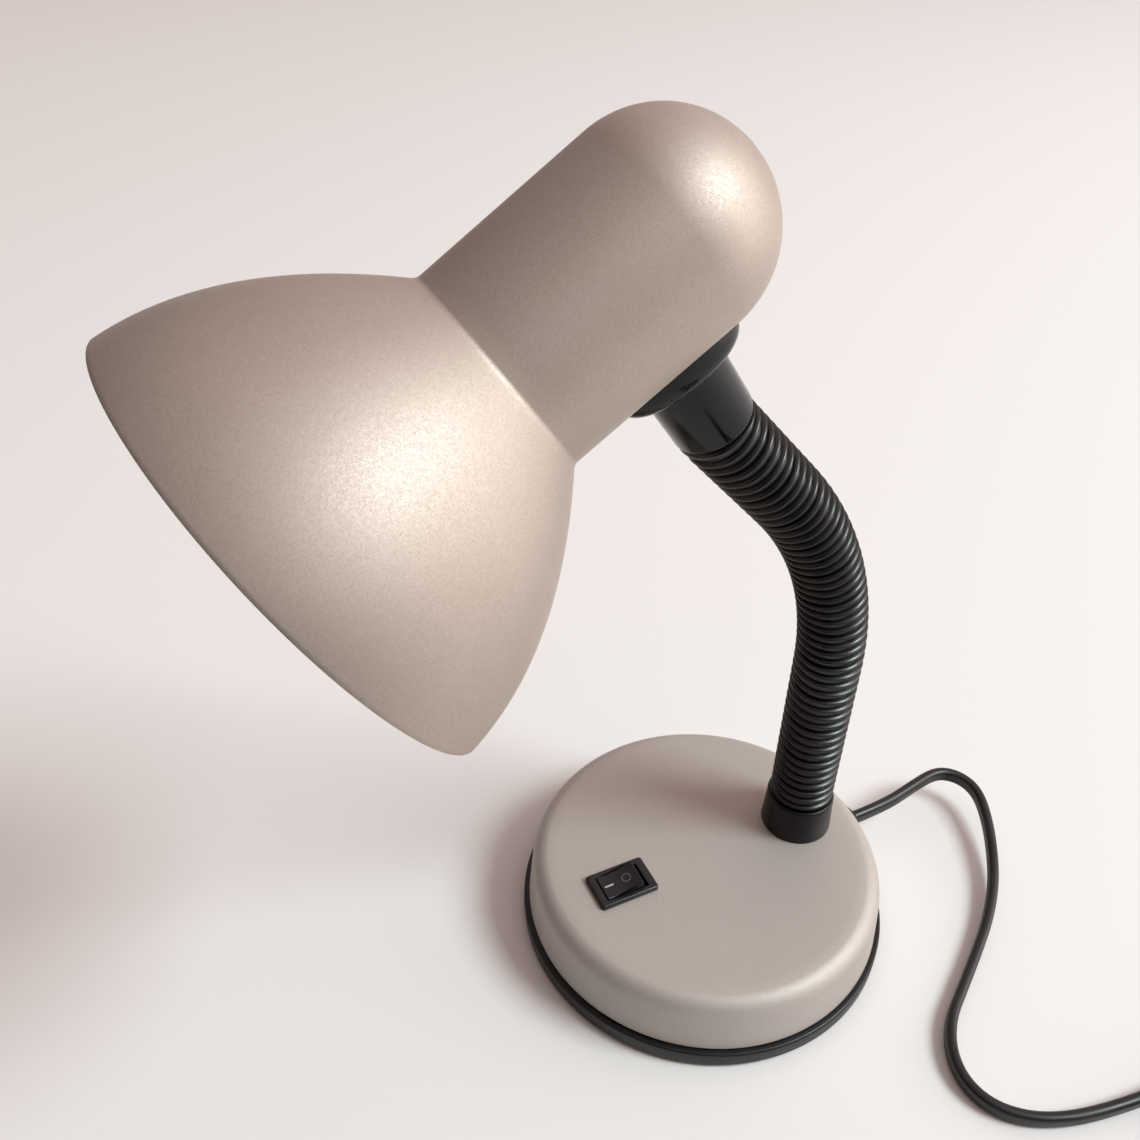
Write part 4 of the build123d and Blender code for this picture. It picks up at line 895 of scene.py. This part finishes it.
def makeSaddle(s, h):
    # outline in (reach, height off the shade), narrowed across and wrapped on the shade:
    # z = axis - sqrt((R + height)^2 - x^2)
    hole, radius, low, high = s["hole"], s["radius"], s["clear"], h["pad"]
    corners = [(hole, low), (radius, low), (radius, high), (hole, high)]
    outline = roundCorners(corners, [0, s["topEdge"], s["lowEdge"], 0], s["steps"])
    outline = denser(outline, s["longRun"], s["perRun"])
    a = roundAngles(s["count"])
    reach, height = outline[:, 0, None], outline[:, 1, None]
    narrow = 1 - (1 - s["sideRadius"] / s["radius"]) * (reach - s["hole"]) / (s["radius"] - s["hole"])
    x, y = narrow * reach * np.cos(a), reach * np.sin(a)
    z = axisHeight - np.sqrt((h["shade"] + height) ** 2 - x ** 2)
    saddle = loopPiece("saddle", onPlace(np.stack([x, y, z], -1), headPlace), glossAbs)
    return settle(saddle, "head", ("saddle",))


makeSaddle(saddleShape, headShape)

shadeShape = {
    "radius": 28.5, "wall": 1.0, "length": 50.9, "bell": 62.66, "mouth": 64.7, "creaseSlope": 1.051,
    "rimSlope": 0.126, "creaseSoft": 0.9, "edge": [(0.08, 0.22), (0.5, 0.36), (0.92, 0.22)], "vents": 6,
    "ventRadius": 2.2, "ventCircle": 8.0, "ventTurn": 30.0, "ventCount": 36, "ventClear": 0.35, "cap": 14.0,
    "capStep": 0.7, "count": 240, "sharp": 50.0}


def shadeLine(s, inset):
    # dome arc, straight side, eased crease, bell as a cubic curve from crease to rim
    r = s["radius"] - inset
    t = np.linspace(math.asin(s["cap"] / r), np.pi / 2, 26)
    dome = np.stack([r * np.sin(t), s["length"] + r * np.cos(t)], -1)
    side = np.column_stack([np.full(11, r), np.linspace(s["length"], s["creaseSoft"] - 0.4 * inset, 12)[1:]])
    third = s["bell"] / 3
    hold = np.array([
        (r, -0.4 * inset),
        (s["radius"] + s["creaseSlope"] * third - 0.75 * inset, -third - 0.6 * inset),
        (s["mouth"] - s["rimSlope"] * third - 0.95 * inset, -2 * third - 0.1 * inset),
        (s["mouth"] - inset, -s["bell"])])
    bell = cubic(hold, np.linspace(0, 1, 60)[:, None])
    bell = bell[np.linalg.norm(bell - hold[0], axis=1) > s["creaseSoft"]]
    v = np.linspace(0, 1, 7)[1:-1, None]
    ease = (1 - v) ** 2 * side[-1] + 2 * v * (1 - v) * hold[0] + v ** 2 * bell[0]
    return np.concatenate([dome, side, ease, bell])


def makeShade(s):
    # outer line, rolled rim and inner line turned about the shade's axis; a vented cap closes the dome
    edge = np.array([(s["mouth"] - a, -s["bell"] - b) for a, b in s["edge"]])
    outline = np.concatenate([shadeLine(s, 0.0), edge, shadeLine(s, s["wall"])[::-1]])
    angles = roundAngles(s["count"])
    shell = turn(outline, upright, angles)
    around = np.radians(s["ventTurn"] + 360 / s["vents"] * np.arange(s["vents"]))
    centres = circle(s["ventCircle"], -around)
    vents = [circle(s["ventRadius"], roundAngles(s["ventCount"]), c) for c in centres]
    radii = np.arange(s["capStep"], s["cap"] - 0.3, s["capStep"])
    inside = np.concatenate([circle(r, roundAngles(max(8, int(r * 9)))) for r in radii])
    gap = np.linalg.norm(inside[:, None] - centres[None], axis=2).min(1)
    inside = inside[gap > s["ventRadius"] + s["ventClear"]]
    flat, corners = panel(circle(s["cap"], angles), vents, inside)

    def lift(r):
        return np.column_stack([flat, s["length"] + np.sqrt(r ** 2 - (flat ** 2).sum(1))])

    first = len(outline) * s["count"]
    faces = gridFaces(len(outline), s["count"], False, True)
    faces += panelFaces(corners, vents, s["count"], first, first + len(flat))
    local = np.concatenate([shell.reshape(-1, 3), lift(s["radius"]), lift(s["radius"] - s["wall"])])
    shade = makePiece("shade", onPlace(local, shadePlace), faces, shadeEnamel, s["sharp"])
    return settle(shade, "head", ("shade",))


makeShade(shadeShape)

bulbShape = {
    "radius": 22.5, "tip": -59.5, "neck": -12.0, "throat": 12.4, "lean": 40.0, "wall": 0.8, "waist": (4, 4.8),
    "neckHold": 4, "count": 96, "sharp": 50.0}


def makeBulb(b):
    # globe arc from tip to waist, then a cubic neck; drawn in by the wall for the inside
    def line(inset):
        r, centre = b["radius"] - inset, b["tip"] + b["radius"]
        t = np.linspace(-np.pi / 2, math.radians(b["lean"]), 40)
        globe = np.stack([r * np.cos(t), centre + r * np.sin(t)], -1)
        throat = b["throat"] - inset
        hold = np.array([
            globe[-1], (globe[-1, 0] - b["waist"][0], globe[-1, 1] + b["waist"][1]),
            (throat, b["neck"] - b["neckHold"]), (throat, b["neck"])])
        return np.concatenate([globe, cubic(hold, np.linspace(0, 1, 16)[1:, None])])

    outline = np.concatenate([line(0.0), line(b["wall"])[::-1]])
    bulb = turnedPiece("bulbGlass", outline, shadePlace, bulbOpal, b["count"], b["sharp"])
    return settle(bulb, "head", ("bulb_glass",))


makeBulb(bulbShape)

holderShape = {
    "radius": 17.8, "wall": 2.2, "mouth": -16.0, "split": 14.0, "grooves": 5, "groove": 0.5,
    "groovesFrom": -2, "groovesLong": 16, "mouthEase": (0.6, 0.2), "innerEase": 0.5, "count": 96,
    "sharp": 40.0}


def makeHolder(h):
    # plain skirt with turned grooves near its back, rounded mouth
    z = np.linspace(h["mouth"], h["split"], 121)
    wave = np.clip(np.sin(2 * np.pi * (z - h["groovesFrom"]) / h["groovesLong"] * h["grooves"]), 0, 1)
    dip = h["groove"] * wave * (z > h["groovesFrom"]) * (z < h["split"] - 1)
    outer = np.stack([h["radius"] - dip, z], -1)
    outer[:2, 0] -= h["mouthEase"]
    bore, ease = h["radius"] - h["wall"], h["innerEase"]
    inner = [(bore, h["split"]), (bore, h["mouth"] + ease), (bore + ease, h["mouth"])]
    outline = np.concatenate([outer, inner])
    holder = turnedPiece("lampholderBody", outline, shadePlace, holderPhenolic, h["count"], h["sharp"])
    return settle(holder, "head", ("lampholder_body",))


makeHolder(holderShape)
print("head made")

# CAD pieces that stay as they are get their finish here
cadFinish = {
    "base_pad": padRubber, "base_screws": zincSteel, "ballast_weight": castIron, "switch_terminals": brass,
    "lower_fitting": zincSteel, "lower_washer": zincSteel, "lower_nut": zincSteel, "upper_fitting": zincSteel,
    "upper_washer": zincSteel, "upper_nut": zincSteel, "holder_bracket": zincSteel,
    "holder_nipple": zincSteel, "nipple_nut": zincSteel, "lampholder_cap": holderPhenolic,
    "contact_block": holderPhenolic, "screw_shell": brass, "centre_contact": brass, "holder_wires": wirePvc,
    "bulb_cap": capAluminium, "cord_inner": cordPvc,
    "cord_clamp": rimPlastic, "clamp_screws": zincSteel, "switch_wires": wirePvc, "neutral_wire": wirePvc}
for node, finish in cadFinish.items():
    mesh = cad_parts[node].data
    mesh.materials.clear()
    mesh.materials.append(finish)
print("CAD finishes set")

# floor, lamps, flag and world; metres and watts, each lamp as (direction, distance, size, power, colour)
stageShape = {
    "floor": "#ebe8e7", "floorSize": 6.0, "floorRough": 0.85, "floorSpecular": 0.2, "floorDrop": 0.0002,
    "target": (0.0, -0.05, 0.18),
    "lamps": {
        "sideLight": ((0.44, 0.9, 0.2), 2.5, 1.6, 16.0, "#fff6f1"),
        "keyLight": ((0.455, 0.55, 0.70), 4.0, 1.7, 140.0, "#ecfcfe")},
    "flag": (0.34, -0.225), "flagHalf": 0.42, "flagHeight": 0.28, "flagCloth": "#2a1f1c", "flagRough": 0.9,
    "roomLight": (0.07, 0.75, 0.66), "roomFrom": -0.42, "roomTo": 0.85, "roomDark": "#32211d",
    "roomPale": "#f4ded8", "roomStrength": 0.86}


def stagePlane(name, corners, finish, drop=0.0):
    # one flat face that belongs to the stage
    mesh = bpy.data.meshes.new(name)
    mesh.from_pydata(corners, [], [[0, 1, 2, 3]])
    mesh.materials.append(finish)
    plane = bpy.data.objects.new(name, mesh)
    plane.location.z = -drop
    scene.collection.objects.link(plane)
    return plane


def makeLamp(name, target, direction, away, size, power, colour):
    # round soft lamp at target + direction x distance, facing back along it
    data = bpy.data.lights.new(name, "AREA")
    data.shape = "DISK"
    data.size = size
    data.energy = power
    data.color = hexColour(colour)[:3]
    light = bpy.data.objects.new(name, data)
    back = Vector(direction).normalized()
    light.location = Vector(target) + back * away
    light.rotation_euler = back.to_track_quat("Z", "Y").to_euler()
    scene.collection.objects.link(light)


def makeStage(s):
    # pale paper floor just under the object
    half = s["floorSize"] / 2
    paper = newFinish("palePaper", {
        "Base Color": hexColour(s["floor"]), "Roughness": s["floorRough"],
        "Specular IOR Level": s["floorSpecular"]})[0]
    corners = [(-half, -half, 0), (half, -half, 0), (half, half, 0), (-half, half, 0)]
    stagePlane("floor", corners, paper, s["floorDrop"])
    for name, lamp in s["lamps"].items():
        makeLamp(name, s["target"], *lamp)

    # dark flag standing on the near side, where it shades the floor; the camera looks through it
    reach = Vector((-s["flag"][1], s["flag"][0])).normalized() * s["flagHalf"]
    near, far = Vector(s["flag"]) - reach, Vector(s["flag"]) + reach
    cloth = newFinish("darkCloth", {"Base Color": hexColour(s["flagCloth"]), "Roughness": s["flagRough"]})[0]
    high = s["flagHeight"]
    flag = stagePlane("flag", [(*near, 0), (*far, 0), (*far, high), (*near, high)], cloth)
    flag.visible_camera = False

    # soft room: pale above and on the key side, dimmer low on the far side
    world = bpy.data.worlds.new("softRoom")
    world.use_nodes = True
    scene.world = world
    tree = world.node_tree
    coords = addNode(tree, "TexCoord").outputs["Generated"]
    toKey = addNode(tree, "VectorMath", {1: s["roomLight"]}, {0: coords}, operation="DOT_PRODUCT")
    share = addNode(tree, "MapRange", {"From Min": s["roomFrom"], "From Max": s["roomTo"]},
        {"Value": toKey.outputs["Value"]}, interpolation_type="SMOOTHSTEP")
    colour = addNode(tree, "Mix", {6: hexColour(s["roomDark"]), 7: hexColour(s["roomPale"])},
        {0: share.outputs["Result"]}, data_type="RGBA")
    background = tree.nodes["Background"]
    background.inputs["Strength"].default_value = s["roomStrength"]
    tree.links.new(colour.outputs[2], background.inputs["Color"])


makeStage(stageShape)
print("stage set")
